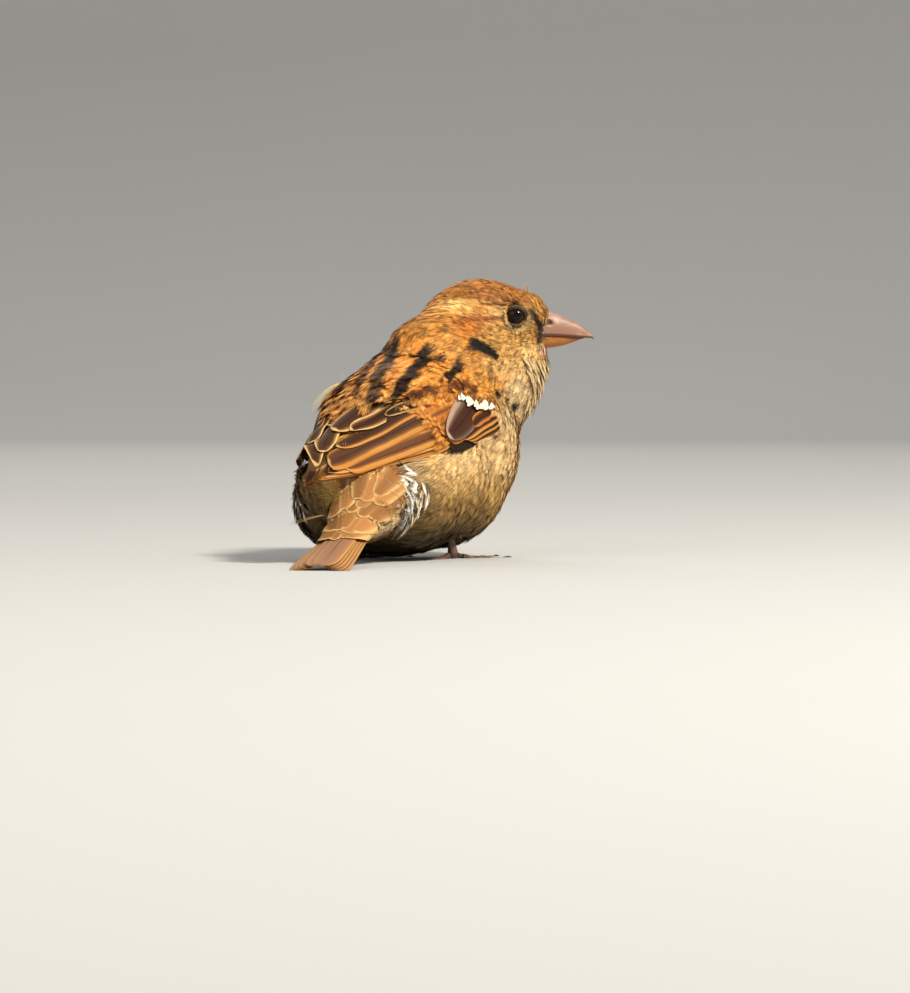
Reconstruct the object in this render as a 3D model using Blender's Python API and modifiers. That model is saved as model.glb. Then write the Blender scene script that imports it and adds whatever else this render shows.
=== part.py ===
"""House sparrow at life size, crouched on both feet with its head turned to its right.

The bird's trunk faces +X, its left side is +Y and the floor is z = 0. Everything is in metres: sizes are
written in millimetres and turned into metres by mm(). Places are measured from a point on the floor under
the trunk, and the finished bird is then moved so that the middle of its box is over the origin. The
feathered outline is one soft form melted from egg-shaped masses and parted into head, neck, trunk and rump.
Wings and tail are curved blades. Bill, eyes, legs, toes and claws are pieces of their own, and the soft form
is cut back around each of them.
"""

import math

import bmesh
import bpy
from mathutils import Matrix, Vector
from mathutils.bvhtree import BVHTree

# ---------------------------------------------------------------- driving dimensions, millimetres and degrees
HEAD_CENTRE = (23.5, -7.2, 57.2)
HEAD_TURN = -56.0          # the head looks to the bird's right
CLEARANCE = 0.3            # kept between pieces that meet
BILL_LENGTH = 13.6
BILL_DEPTH = 8.4
BILL_WIDTH = 7.4
EYE_RADIUS = 2.75
EYE_PLACE = (7.1, 7.0, 4.3)   # forward, to the side, up from the head's centre
WING_THICKNESS = 2.0
WING_PROUD = 0.9           # how far the folded wing stands out of the soft form
TAIL_ROOT = (-25.0, -6.4, 15.2)
TAIL_LENGTH = 57.0
TAIL_SWING = 20.0          # the tail is carried to the right of straight back
TAIL_THICKNESS = 1.5
FOOT_PLACES = {"right": (4.0, -10.0), "left": (-7.0, 11.0)}
TARSUS_RADIUS = 1.05
SOLE_CUT = 0.12            # depth of the flats under toes and tail

FORM_VOXEL = 1.2
FORM_SMOOTHING = 14
FORM_FACES = 0.085          # share of faces kept once the form is smooth


def mm(*values):
    """A vector in metres from millimetres."""
    return Vector(values) * 0.001


# ---------------------------------------------------------------- scene and small helpers
def clear_scene():
    for obj in list(bpy.data.objects):
        bpy.data.objects.remove(obj, do_unlink=True)


def new_collection(name):
    made = bpy.data.collections.new(name)
    bpy.context.scene.collection.children.link(made)
    return made


def material(name, colour, roughness, metallic=0.0):
    made = bpy.data.materials.new(name)
    made.use_nodes = True
    shader = made.node_tree.nodes["Principled BSDF"]
    shader.inputs["Base Color"].default_value = (*colour, 1.0)
    shader.inputs["Roughness"].default_value = roughness
    shader.inputs["Metallic"].default_value = metallic
    return made


def add_object(name, mesh, collection, finish=None):
    obj = bpy.data.objects.new(name, mesh)
    collection.objects.link(obj)
    if finish:
        obj.data.materials.clear()
        obj.data.materials.append(finish)
    return obj


def baked_mesh(obj):
    """The object's mesh with its modifiers and its placement applied. The object is removed."""
    bpy.context.view_layer.update()
    graph = bpy.context.evaluated_depsgraph_get()
    mesh = bpy.data.meshes.new_from_object(obj.evaluated_get(graph))
    mesh.transform(obj.matrix_world)
    bpy.data.objects.remove(obj, do_unlink=True)
    return mesh


def mesh_from(bm, name):
    bmesh.ops.recalc_face_normals(bm, faces=bm.faces)
    mesh = bpy.data.meshes.new(name)
    bm.to_mesh(mesh)
    bm.free()
    return mesh


def smooth_shading(obj, angle=50):
    obj.data.shade_smooth()
    obj.data.set_sharp_from_angle(angle=math.radians(angle))


def swollen_copy(obj):
    """A cutter: the same shape grown by the clearance that pieces keep between them."""
    cutter = add_object(obj.name + "_cutter", obj.data.copy(), cutters)
    cutter.matrix_basis = obj.matrix_basis
    grow = cutter.modifiers.new("grow", "DISPLACE")
    grow.strength = CLEARANCE * 0.001
    grow.mid_level = 0.0
    cutter.hide_render = True
    cutter.display_type = "WIRE"
    return cutter


def cut_away(obj, cutter):
    cut = obj.modifiers.new("cut_" + cutter.name, "BOOLEAN")
    cut.operation = "DIFFERENCE"
    cut.solver = "EXACT"
    cut.object = cutter


# ---------------------------------------------------------------- the soft form
# Each mass is (centre, half sizes, pitch, yaw): an egg whose nose is raised by pitch and turned by yaw.
TRUNK_MASSES = {
    "belly": ((-3.0, 0.0, 22.5), (30.0, 21.5, 21.0), 12.0, 0.0),
    "breast": ((12.0, -1.0, 30.0), (20.0, 20.5, 23.0), 30.0, 0.0),
    "back": ((-8.0, 0.0, 35.5), (25.0, 18.0, 13.5), 34.0, 0.0),
    "rump": ((-25.0, 1.0, 22.0), (14.0, 14.0, 13.0), 30.0, 0.0),
    "right_flank": ((-13.0, -10.0, 17.0), (16.0, 11.0, 14.0), 8.0, 0.0),
    "left_flank": ((-15.0, 10.0, 16.0), (17.0, 11.0, 13.5), 8.0, 0.0),
    "fore_belly": ((9.0, -3.0, 18.0), (18.0, 16.5, 15.0), 20.0, -10.0),
}
# Measured down the tail, across it and up from its root.
TAIL_MASSES = {
    "coverts": ((6.0, 0.0, -1.4), (21.5, 9.6, 6.4), -13.0, 0.0),
}
NECK_MASSES = {
    "nape": ((12.8, -2.6, 47.6), (15.4, 14.6, 16.6), 50.0, -20.0),
    "throat": ((22.0, -8.0, 43.5), (13.5, 12.5, 14.0), 0.0, -40.0),
}
# These are measured forward, left and up from the head's centre.
HEAD_MASSES = {
    "cranium": ((-2.0, 0.0, 1.0), (14.5, 11.6, 12.8), 0.0, 0.0),
    "forehead": ((6.5, 0.0, 2.6), (8.6, 8.8, 8.6), -18.0, 0.0),
    "cheeks": ((-0.5, 0.0, -5.0), (13.0, 12.0, 8.6), 0.0, 0.0),
    "face": ((9.6, 0.0, -2.2), (6.2, 6.4, 6.6), -8.0, 0.0),
    "chin": ((10.0, 0.0, -7.4), (5.6, 5.4, 5.2), -30.0, 0.0),
}


def head_frame():
    return Matrix.Translation(mm(*HEAD_CENTRE)) @ Matrix.Rotation(math.radians(HEAD_TURN), 4, "Z")


def tail_frame():
    return Matrix.Translation(mm(*TAIL_ROOT)) @ Matrix.Rotation(math.radians(180 + TAIL_SWING), 4, "Z")


def add_mass(bm, mass, frame):
    centre, radii, pitch, yaw = mass
    place = (
        frame
        @ Matrix.Translation(mm(*centre))
        @ Matrix.Rotation(math.radians(yaw), 4, "Z")
        @ Matrix.Rotation(math.radians(-pitch), 4, "Y")
        @ Matrix.Diagonal((*mm(*radii), 1.0))
    )
    bmesh.ops.create_uvsphere(bm, u_segments=32, v_segments=20, radius=1.0, matrix=place)


def soft_form(name, groups, keep_faces):
    """The masses melted into one closed skin."""
    bm = bmesh.new()
    for masses, frame in groups:
        for mass in masses.values():
            add_mass(bm, mass, frame)
    obj = add_object(name, mesh_from(bm, name), parts)
    melt = obj.modifiers.new("melt", "REMESH")
    melt.mode = "VOXEL"
    melt.voxel_size = FORM_VOXEL * 0.001
    relax = obj.modifiers.new("relax", "SMOOTH")
    relax.factor = 0.5
    relax.iterations = FORM_SMOOTHING
    thin = obj.modifiers.new("thin", "DECIMATE")
    thin.ratio = keep_faces
    return baked_mesh(obj)


def slab_of(mesh, name, behind=None, ahead=None, finish=None):
    """The stretch of a closed mesh between two planes, each (point, direction), with the cuts filled."""
    bm = bmesh.new()
    bm.from_mesh(mesh)
    for plane, side in ((behind, -1.0), (ahead, 1.0)):
        if plane is None:
            continue
        point, direction = mm(*plane[0]), Vector(plane[1]).normalized()
        point = point - direction * side * CLEARANCE * 0.0005
        bmesh.ops.bisect_plane(
            bm,
            geom=bm.verts[:] + bm.edges[:] + bm.faces[:],
            plane_co=point,
            plane_no=direction * side,
            clear_outer=True,
        )
        rim = [edge for edge in bm.edges if edge.is_boundary]
        bmesh.ops.holes_fill(bm, edges=rim)
    bmesh.ops.triangulate(bm, faces=[face for face in bm.faces if len(face.verts) > 4])
    return add_object(name, mesh_from(bm, name), parts, finish)


# ---------------------------------------------------------------- wings
# A wing is laid on the form from a line through the trunk. Its share along the line runs from the rump (0)
# to the shoulder (1), and its angle is measured round the line from straight up towards the wing's side.
CHART_REAR = (-60.0, 0.0, 13.0)
CHART_FRONT = (40.0, 0.0, 39.0)
WING_REST = ((-36.0, 0.5, 23.0), (19.0, 8.5, 7.0), 20.0, 0.0)


def chart_point(surface, along, angle, side, lift):
    """The place on the surface at a chart position, raised by lift millimetres."""
    rear, front = mm(*CHART_REAR), mm(*CHART_FRONT)
    axis = (front - rear).normalized()
    up = (Vector((0, 0, 1)) - axis * axis.z).normalized()
    across = axis.cross(up) * side
    out = up * math.cos(math.radians(angle)) + across * math.sin(math.radians(angle))
    base = rear.lerp(front, along)
    hit, normal, _, _ = surface.ray_cast(base + out * 0.09, -out)
    if hit is None:
        hit = base
    return hit + out * lift * 0.001


# Each blade of the folded wing: its shares along the line from tip to front, and the angles of its lower and
# upper edge at the tip, halfway and at the front.
WING_BLADES = {
    "primaries": {"along": (0.09, 0.525), "lower": (44.0, 77.0, 84.0), "upper": (38.0, 63.0, 71.0)},
    "tertials": {"along": (0.19, 0.525), "lower": (30.0, 61.0, 69.0), "upper": (10.0, 24.0, 44.0)},
    "coverts": {"along": (0.54, 0.72), "lower": (84.0, 88.0, 88.0), "upper": (45.0, 54.0, 60.0)},
}
LEFT_TUCK = 0.04           # the left wing is folded this much shorter
BLADE_STEPS = (10, 4)


def eased(values, t):
    """A smooth curve through a start, middle and end value."""
    start, middle, end = values
    return start * (1 - t) * (1 - 2 * t) + middle * 4 * t * (1 - t) + end * t * (2 * t - 1)


def wing_blade(name, surface, side, plan, finish):
    rows, columns = BLADE_STEPS
    tip, front = plan["along"]
    tip += LEFT_TUCK if side < 0 else 0.0
    bm = bmesh.new()
    grid = []
    for i in range(rows + 1):
        t = i / rows
        along = tip + (front - tip) * t
        low, high = eased(plan["lower"], t), eased(plan["upper"], t)
        grid.append(
            [
                bm.verts.new(
                    chart_point(surface, along, low + (high - low) * j / columns, side, WING_PROUD)
                )
                for j in range(columns + 1)
            ]
        )
    for near, far in zip(grid, grid[1:]):
        for j in range(columns):
            bm.faces.new((near[j], near[j + 1], far[j + 1], far[j]))
    obj = add_object(name, mesh_from(bm, name), parts, finish)
    shell = obj.modifiers.new("shell", "SOLIDIFY")
    shell.thickness = WING_THICKNESS * 0.001
    shell.offset = -1.0 if outward(obj.data) else 1.0
    obj.data = baked_copy(obj)
    obj.modifiers.clear()
    return obj


def outward(mesh):
    """Whether an open sheet's faces point away from the chart's line."""
    rear, front = mm(*CHART_REAR), mm(*CHART_FRONT)
    axis = (front - rear).normalized()
    total = 0.0
    for face in mesh.polygons:
        away = face.center - rear
        away -= axis * away.dot(axis)
        total += face.normal.dot(away)
    return total > 0


def baked_copy(obj):
    bpy.context.view_layer.update()
    graph = bpy.context.evaluated_depsgraph_get()
    return bpy.data.meshes.new_from_object(obj.evaluated_get(graph))


# ---------------------------------------------------------------- lofts, for bill, tail and claws
def loft(name, sections, finish):
    """A closed skin through rings with the same number of points."""
    bm = bmesh.new()
    rings = [[bm.verts.new(point) for point in ring] for ring in sections]
    for near, far in zip(rings, rings[1:]):
        count = len(near)
        for i in range(count):
            j = (i + 1) % count
            bm.faces.new((near[i], near[j], far[j], far[i]))
    bm.faces.new(rings[0][::-1])
    bm.faces.new(rings[-1])
    return add_object(name, mesh_from(bm, name), parts, finish)


BILL_BASE = (13.0, 0.0, 0.7)   # where the bill leaves the face, from the head's centre
BILL_ROOTED = 3.0               # how much of it is under the feathers
BILL_STEPS = 12
BILL_SIDES = 9
BILL_TIP = 0.28                 # half thickness of the blunt tips
LOWER_SHARE = 0.87              # the lower half stops short of the upper one's hooked tip


def bill_profile(t):
    """Half width, top and bottom of the closed bill and height of the gape, at a share t of its length."""
    width = BILL_WIDTH / 2 * (1 - t) ** 0.72 * (1 - 0.10 * t)
    top = BILL_DEPTH * (0.53 * (1 - t) ** 0.66 - 0.27 * t)
    bottom = -BILL_DEPTH * (0.47 * (1 - t**1.6) ** 0.9 + 0.18 * t)
    gape = -BILL_DEPTH * (0.13 + 0.10 * t**1.5)
    return width, top, bottom, gape


def bill_ring(t, upper):
    width, top, bottom, gape = bill_profile(t)
    width = max(width, BILL_TIP)
    if upper:
        edge = min(gape + 0.5 * CLEARANCE, top - 2 * BILL_TIP)
        far = top - edge
    else:
        edge = gape - 0.5 * CLEARANCE
        far = min(bottom - edge, -2 * BILL_TIP)
    ring = []
    for i in range(BILL_SIDES):
        a = math.pi * i / (BILL_SIDES - 1)
        ring.append((width * math.cos(a), BILL_BASE[2] + edge + far * math.sin(a)))
    return ring


def bill_half(name, upper, finish):
    length = 1.0 if upper else LOWER_SHARE
    start = -BILL_ROOTED / BILL_LENGTH
    frame = head_frame()
    rings = []
    for i in range(BILL_STEPS + 1):
        t = start + (length - start) * (i / BILL_STEPS) ** 0.85
        shape = bill_ring(max(t, 0.0), upper)
        x = BILL_BASE[0] + t * BILL_LENGTH
        rings.append([frame @ mm(x, y, z) for y, z in shape])
    return loft(name, rings, finish)


def eye(name, side, finish):
    x, y, z = EYE_PLACE
    centre = head_frame() @ mm(x, y * side, z)
    bm = bmesh.new()
    bmesh.ops.create_uvsphere(bm, u_segments=14, v_segments=10, radius=EYE_RADIUS * 0.001)
    obj = add_object(name, mesh_from(bm, name), parts, finish)
    obj.location = centre
    return obj


# ---------------------------------------------------------------- tail
TAIL_STATIONS = 8
TAIL_HALF_WIDTHS = (4.0, 6.2, 7.4)      # at the root, halfway and at the end
TAIL_ARCH = 1.3
TAIL_NOTCH = 2.0
TAIL_COLUMNS = 8


def tail_blade(name, finish):
    drop = TAIL_ROOT[2] - TAIL_THICKNESS / 2 + SOLE_CUT
    run = math.sqrt(TAIL_LENGTH**2 - drop**2)
    frame = tail_frame()
    rings = []
    for i in range(TAIL_STATIONS):
        t = i / (TAIL_STATIONS - 1)
        half = eased(TAIL_HALF_WIDTHS, t)
        ring = []
        for face, order in ((1, 1), (-1, -1)):
            for j in range(TAIL_COLUMNS + 1)[::order]:
                w = 2 * j / TAIL_COLUMNS - 1
                arch = TAIL_ARCH * (1 - w * w) * (1 - t)
                thick = TAIL_THICKNESS / 2 * (1 - 0.45 * w * w)
                notch = -TAIL_NOTCH * (1 - abs(w)) * t**3
                ring.append(frame @ mm(run * t + notch, half * w, arch + face * thick - drop * t))
        rings.append(ring)
    return loft(name, rings, finish)


# ---------------------------------------------------------------- legs and feet
# Toe: heading from straight ahead, length, radius, and how far to the inner side of the shank it is rooted.
TOES = {
    "inner": (-20.0, 10.5, 0.68, 1.65),
    "middle": (3.0, 14.0, 0.78, 0.0),
    "outer": (24.0, 11.0, 0.66, -1.65),
    "hind": (176.0, 8.0, 0.85, 0.2),
}
TOE_CLEAR = 1.9            # the toes start this far from the shank's axis
KNUCKLE_RISE = 1.1
CLAW_LENGTH = 4.2
CLAW_RADIUS = 0.5
TARSUS_TOP = (-3.0, 0.0, 11.5)
ANKLE_HEIGHT = 1.9


def tube(name, points, radii, finish, sides=8):
    """A round limb through points, each with its own radius: a loft of upright-framed rings."""
    rings = []
    for i, (point, radius) in enumerate(zip(points, radii)):
        before = points[max(i - 1, 0)]
        after = points[min(i + 1, len(points) - 1)]
        ahead = (after - before).normalized()
        side = ahead.cross(Vector((0, 0, 1)))
        side = side.normalized() if side.length > 1e-6 else Vector((0, 1, 0))
        rise = side.cross(ahead)
        ring = []
        for k in range(sides):
            a = 2 * math.pi * (k + 0.5) / sides
            ring.append(point + (side * math.cos(a) + rise * math.sin(a)) * radius * 0.001)
        rings.append(ring)
    return loft(name, rings, finish)


def toe(side_name, toe_name, finishes):
    heading, length, radius, inward = TOES[toe_name]
    x, y = FOOT_PLACES[side_name]
    mirrored = 1 if side_name == "left" else -1
    angle = math.radians(heading * mirrored)
    ahead = Vector((math.cos(angle), math.sin(angle), 0))
    forward = TOE_CLEAR if abs(heading) < 90 else -TOE_CLEAR
    start = mm(x + forward, y - inward * mirrored, 0)
    rest = radius * math.cos(math.pi / 8) - SOLE_CUT
    heights = (rest + KNUCKLE_RISE, rest + 0.6, rest, rest + 0.12, rest, rest)
    swell = (0.92, 1.0, 1.03, 0.9, 1.0, 0.8)
    points, radii = [], []
    for i, (height, factor) in enumerate(zip(heights, swell)):
        place = start + ahead * length * 0.001 * i / (len(heights) - 1)
        points.append(Vector((place.x, place.y, height * 0.001)))
        radii.append(radius * factor)
    made = tube(f"toe_{side_name}_{toe_name}", points, radii, finishes["scales"])
    base = points[-1] + ahead * CLEARANCE * 0.001
    claw_points, claw_radii = [], []
    for i in range(6):
        t = i / 5
        rise = (0.75 * math.sin(math.pi * t) + 0.32 - 0.12 * t) * 0.001
        height = rest * 0.001 * (1 - t) + rise * t**0.5
        claw_points.append(Vector((base.x, base.y, height)) + ahead * CLAW_LENGTH * 0.001 * t)
        claw_radii.append(CLAW_RADIUS * (1 - 0.58 * t))
    claw = tube(f"claw_{side_name}_{toe_name}", claw_points, claw_radii, finishes["horn"], sides=6)
    return made, claw


def tarsus(side_name, finishes):
    x, y = FOOT_PLACES[side_name]
    foot = mm(x, y, ANKLE_HEIGHT)
    top = foot + mm(*TARSUS_TOP)
    points = [foot.lerp(top, t) for t in (-0.07, 0.05, 0.3, 0.6, 1.0)]
    radii = [TARSUS_RADIUS * k for k in (0.9, 1.25, 0.9, 0.95, 1.1)]
    return tube(f"tarsus_{side_name}", points, radii, finishes["scales"])


def floor_box():
    bm = bmesh.new()
    bmesh.ops.create_cube(bm, size=1.0)
    box = add_object("floor_cutter", mesh_from(bm, "floor_cutter"), cutters)
    box.scale = (0.4, 0.4, 0.02)
    box.location = (0, 0, -0.01)
    box.hide_render = True
    box.display_type = "WIRE"
    return box


# ---------------------------------------------------------------- the bird
NECK_PLANE = ((13.0, -3.0, 44.5), (0.50, -0.12, 0.86))
HEAD_PLANE = ((19.0, -6.0, 52.0), (0.62, -0.42, 0.66))
RUMP_PLANE = ((-27.5, -2.0, 20.0), (0.93, 0.0, 0.36))


def build():
    finishes = {
        "plumage": material("plumage", (0.52, 0.33, 0.16), 0.85),
        "crown": material("crown", (0.42, 0.20, 0.08), 0.85),
        "wing": material("wing", (0.30, 0.14, 0.06), 0.75),
        "tail": material("tail", (0.36, 0.19, 0.10), 0.75),
        "bill": material("bill", (0.55, 0.36, 0.28), 0.45),
        "eye": material("eye", (0.03, 0.015, 0.01), 0.08),
        "scales": material("scales", (0.28, 0.15, 0.10), 0.6),
        "horn": material("horn", (0.10, 0.06, 0.05), 0.4),
    }
    still = Matrix.Identity(4)
    body = [(TRUNK_MASSES, still), (NECK_MASSES, still)]
    form = soft_form(
        "form", body + [(TAIL_MASSES, tail_frame()), (HEAD_MASSES, head_frame())], FORM_FACES
    )
    rest = soft_form("rest", body + [({"rest": WING_REST}, still)], 1.0)
    corners, faces = [v.co.copy() for v in rest.vertices], [tuple(p.vertices) for p in rest.polygons]
    surface = BVHTree.FromPolygons(corners, faces)

    wings = []
    for side_name, side in (("right", 1.0), ("left", -1.0)):
        for blade, plan in WING_BLADES.items():
            wings.append(
                wing_blade(f"wing_{side_name}_{blade}", surface, side, plan, finishes["wing"])
            )
    tail = tail_blade("tail_feathers", finishes["tail"])
    bill = [bill_half("bill_upper", True, finishes["bill"]), bill_half("bill_lower", False, finishes["bill"])]
    eyes = [eye("eye_right", -1.0, finishes["eye"]), eye("eye_left", 1.0, finishes["eye"])]
    shanks, toes = [], []
    for side_name in FOOT_PLACES:
        shanks.append(tarsus(side_name, finishes))
        for toe_name in TOES:
            toes.extend(toe(side_name, toe_name, finishes))

    head = slab_of(form, "head", behind=HEAD_PLANE, finish=finishes["crown"])
    neck = slab_of(form, "neck", behind=NECK_PLANE, ahead=HEAD_PLANE, finish=finishes["plumage"])
    trunk = slab_of(form, "trunk", behind=RUMP_PLANE, ahead=NECK_PLANE, finish=finishes["plumage"])
    rump = slab_of(form, "rump", ahead=RUMP_PLANE, finish=finishes["plumage"])

    for piece in bill + eyes:
        cut_away(head, swollen_copy(piece))
    for piece in wings + shanks + [tail]:
        cutter = swollen_copy(piece)
        for flesh in (neck, trunk, rump):
            cut_away(flesh, cutter)
    floor = floor_box()
    for piece in toes + [tail]:
        cut_away(piece, floor)
    for obj in parts.objects:
        smooth_shading(obj)
    centre_on_origin()


def centre_on_origin():
    """Moves every piece so that the middle of the bird's length and width is over the origin."""
    bpy.context.view_layer.update()
    graph = bpy.context.evaluated_depsgraph_get()
    corners = []
    for obj in parts.objects:
        made = obj.evaluated_get(graph)
        corners += [made.matrix_world @ Vector(corner) for corner in made.bound_box]
    middle = [(min(c[i] for c in corners) + max(c[i] for c in corners)) / 2 for i in (0, 1)]
    for obj in list(parts.objects) + list(cutters.objects):
        obj.location -= Vector((*middle, 0.0))


clear_scene()
parts = new_collection("house_sparrow")
cutters = new_collection("cutters")
build()
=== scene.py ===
import math

import bpy
import numpy as np
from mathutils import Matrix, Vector
from mathutils.bvhtree import BVHTree
from mathutils.kdtree import KDTree


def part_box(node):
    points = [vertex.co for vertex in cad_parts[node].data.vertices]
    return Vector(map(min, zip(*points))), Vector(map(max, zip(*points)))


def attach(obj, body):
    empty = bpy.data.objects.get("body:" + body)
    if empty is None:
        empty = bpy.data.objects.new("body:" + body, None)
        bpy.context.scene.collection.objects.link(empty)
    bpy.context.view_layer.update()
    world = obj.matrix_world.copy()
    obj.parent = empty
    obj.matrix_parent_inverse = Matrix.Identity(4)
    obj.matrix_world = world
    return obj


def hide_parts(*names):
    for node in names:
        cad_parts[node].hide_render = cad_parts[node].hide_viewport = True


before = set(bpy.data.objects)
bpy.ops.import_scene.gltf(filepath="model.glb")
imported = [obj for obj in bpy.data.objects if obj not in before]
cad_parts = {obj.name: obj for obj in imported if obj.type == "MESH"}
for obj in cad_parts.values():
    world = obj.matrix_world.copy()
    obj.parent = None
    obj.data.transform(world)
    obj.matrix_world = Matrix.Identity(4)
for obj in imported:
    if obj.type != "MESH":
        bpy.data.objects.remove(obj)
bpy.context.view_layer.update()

# ---------------------------------------------------------------- skin
# One unbroken hide under the plumage, from the edge of the bill to the root of the tail. It lies inside the
# outline by the depth of the feathers: shallow on the face, deep on the breast, flanks and belly.

# The bird is worked out in millimetres from a point on the floor under its trunk, with +X the way the trunk
# faces and +Y its left. The left eye of the solids shows how far that point lies from the model's origin.
# The head is turned to the right, so it has a frame of its own: forward, left and up from its centre.
HEAD_CENTRE = np.array((23.5, -7.2, 57.2))
HEAD_TURN = math.radians(-56.0)
HEAD_AXES = np.array((
    (math.cos(HEAD_TURN), math.sin(HEAD_TURN), 0.0),
    (-math.sin(HEAD_TURN), math.cos(HEAD_TURN), 0.0),
    (0.0, 0.0, 1.0),
))
EYE_PLACE = np.array((7.1, 7.0, 4.3))
EYE_RADIUS = 2.75
LEFT_EYE = (np.array(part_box("eye_left")[0]) + np.array(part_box("eye_left")[1])) * 500.0
SHIFT = LEFT_EYE - (HEAD_CENTRE + EYE_PLACE @ HEAD_AXES)

# Most of the trunk is charted from a line through it: a share of the way from the rump to the breast, an
# angle round the line from straight up, positive to the bird's right, and a distance from the line.
CHART_REAR, CHART_FRONT = np.array((-60.0, 0.0, 13.0)), np.array((40.0, 0.0, 39.0))
CHART_LENGTH = float(np.linalg.norm(CHART_FRONT - CHART_REAR))
CHART_AXIS = (CHART_FRONT - CHART_REAR) / CHART_LENGTH
CHART_UP = np.array((-CHART_AXIS[2], 0.0, CHART_AXIS[0]))
CHART_RIGHT = np.cross(CHART_AXIS, CHART_UP)

TAIL_ROOT = np.array((-25.0, -6.4, 15.2))
TAIL_TURN = math.radians(200.0)
TAIL_LENGTH = 57.0
TAIL_DROP = 14.6
TAIL_BACK = np.array((math.cos(TAIL_TURN), math.sin(TAIL_TURN), 0.0))
TAIL_SIDE = np.array((-TAIL_BACK[1], TAIL_BACK[0], 0.0))
UP = np.array((0.0, 0.0, 1.0))

chance = np.random.default_rng(7)


def unit(vectors):
    return vectors / np.maximum(np.linalg.norm(vectors, axis=-1, keepdims=True), 1e-9)


def ramp(value, low, high):
    """0 below low and 1 above high, with a soft step between. Low may be the larger."""
    t = np.clip((value - low) / (high - low), 0.0, 1.0)
    return t * t * (3.0 - 2.0 * t)


def in_head(points):
    return (points - HEAD_CENTRE) @ HEAD_AXES.T


def from_head(places):
    return HEAD_CENTRE + np.asarray(places, float) @ HEAD_AXES


def on_chart(points):
    """Share along the trunk's line, angle round it in degrees, and distance from it."""
    away = points - CHART_REAR
    up, right = away @ CHART_UP, away @ CHART_RIGHT
    return away @ CHART_AXIS / CHART_LENGTH, np.degrees(np.arctan2(right, up)), np.hypot(up, right)


def off_chart(share, angle, distance):
    turn = np.radians(angle)
    out = np.cos(turn)[..., None] * CHART_UP + np.sin(turn)[..., None] * CHART_RIGHT
    return CHART_REAR + share[..., None] * (CHART_FRONT - CHART_REAR) + out * distance[..., None]


def placed(name, data):
    made = bpy.data.objects.new(name, data)
    bpy.context.scene.collection.objects.link(made)
    return made


def add_piece(name, points, faces, finish, replaced=()):
    """A piece of the bird from points in millimetres, riding on the one body."""
    mesh = bpy.data.meshes.new(name)
    faces = [np.asarray(group) for group in faces if len(group)]
    sizes = np.concatenate([np.full(len(group), group.shape[1]) for group in faces])
    corners = np.concatenate([group.ravel() for group in faces])
    mesh.vertices.add(len(points))
    mesh.vertices.foreach_set("co", ((points + SHIFT) * 0.001).astype(np.float32).ravel())
    mesh.loops.add(len(corners))
    mesh.loops.foreach_set("vertex_index", corners.astype(np.int32))
    mesh.polygons.add(len(sizes))
    starts = np.concatenate(([0], np.cumsum(sizes)[:-1]))
    mesh.polygons.foreach_set("loop_start", starts.astype(np.int32))
    mesh.polygons.foreach_set("use_smooth", np.ones(len(sizes), bool))
    mesh.update(calc_edges=True)
    mesh.validate()
    piece = placed(name, mesh)
    mesh.materials.append(finish)
    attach(piece, "root")
    if replaced:
        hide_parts(*replaced)
    return piece


def note(piece, name, values):
    """A number or a colour at each point, for the finish to read."""
    kind, field = ("FLOAT", "value") if values.ndim == 1 else ("FLOAT_COLOR", "color")
    if values.ndim == 2:
        values = np.column_stack((values, np.ones(len(values))))
    kept = piece.data.attributes.new(name, kind, "POINT")
    kept.data.foreach_set(field, values.astype(np.float32).ravel())


class Wire:
    """A shader socket that takes part in sums, so that a finish reads as a formula."""

    def __init__(self, tree, socket=None):
        self.tree, self.socket = tree, socket

    def add(self, kind, settings=(), inputs=(), output=0):
        """Any node: its settings are made first, then the values or links of its sockets."""
        node = self.tree.nodes.new("ShaderNode" + kind)
        for key, value in dict(settings).items():
            setattr(node, key, value)
        for key, value in dict(inputs).items():
            if isinstance(value, Wire):
                self.tree.links.new(value.socket, node.inputs[key])
            else:
                node.inputs[key].default_value = value
        return Wire(self.tree, node.outputs[output])

    def maths(self, operation, first, second=0.0):
        return self.add("Math", {"operation": operation}, {0: first, 1: second})

    def __add__(self, other):
        return self.maths("ADD", self, other)

    def __sub__(self, other):
        return self.maths("SUBTRACT", self, other)

    def __mul__(self, other):
        return self.maths("MULTIPLY", self, other)

    __radd__, __rmul__ = __add__, __mul__

    def larger(self, other):
        return self.maths("MAXIMUM", self, other)

    def size(self):
        return self.maths("ABSOLUTE", self)

    def wave(self, length):
        """A wave from 0 to 1 that repeats every length."""
        return self.maths("SINE", self * (2.0 * math.pi / length)) * 0.5 + 0.5

    def step(self, low, high):
        """0 below low, 1 above high, soft between. Low may be the larger."""
        share = {"From Min": min(low, high), "From Max": max(low, high)}
        ends = {"To Min": 0.0, "To Max": 1.0} if high > low else {"To Min": 1.0, "To Max": 0.0}
        return self.add("MapRange", {"interpolation_type": "SMOOTHSTEP"}, {"Value": self, **share, **ends})

    def mix(self, first, second):
        """From the first colour to the second as this mask goes from 0 to 1."""
        colours = [v if isinstance(v, Wire) else (*v, 1.0) for v in (first, second)]
        sockets = {0: self, 6: colours[0], 7: colours[1]}
        return self.add("Mix", {"data_type": "RGBA"}, sockets, output=2)

    def noise(self, scale, detail=3.0, where=None, stretch=None):
        """Cloudy noise from 0 to 1 over the piece's own shape, or over another vector."""
        if where is None:
            where = self.add("TexCoord", output=3)
        if stretch:
            where = self.add("Mapping", {}, {0: where, 3: stretch})
        return self.add("TexNoise", {}, {"Vector": where, "Scale": scale, "Detail": detail})

    def reading(self, name, output=2):
        return self.add("Attribute", {"attribute_name": name}, output=output)


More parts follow.
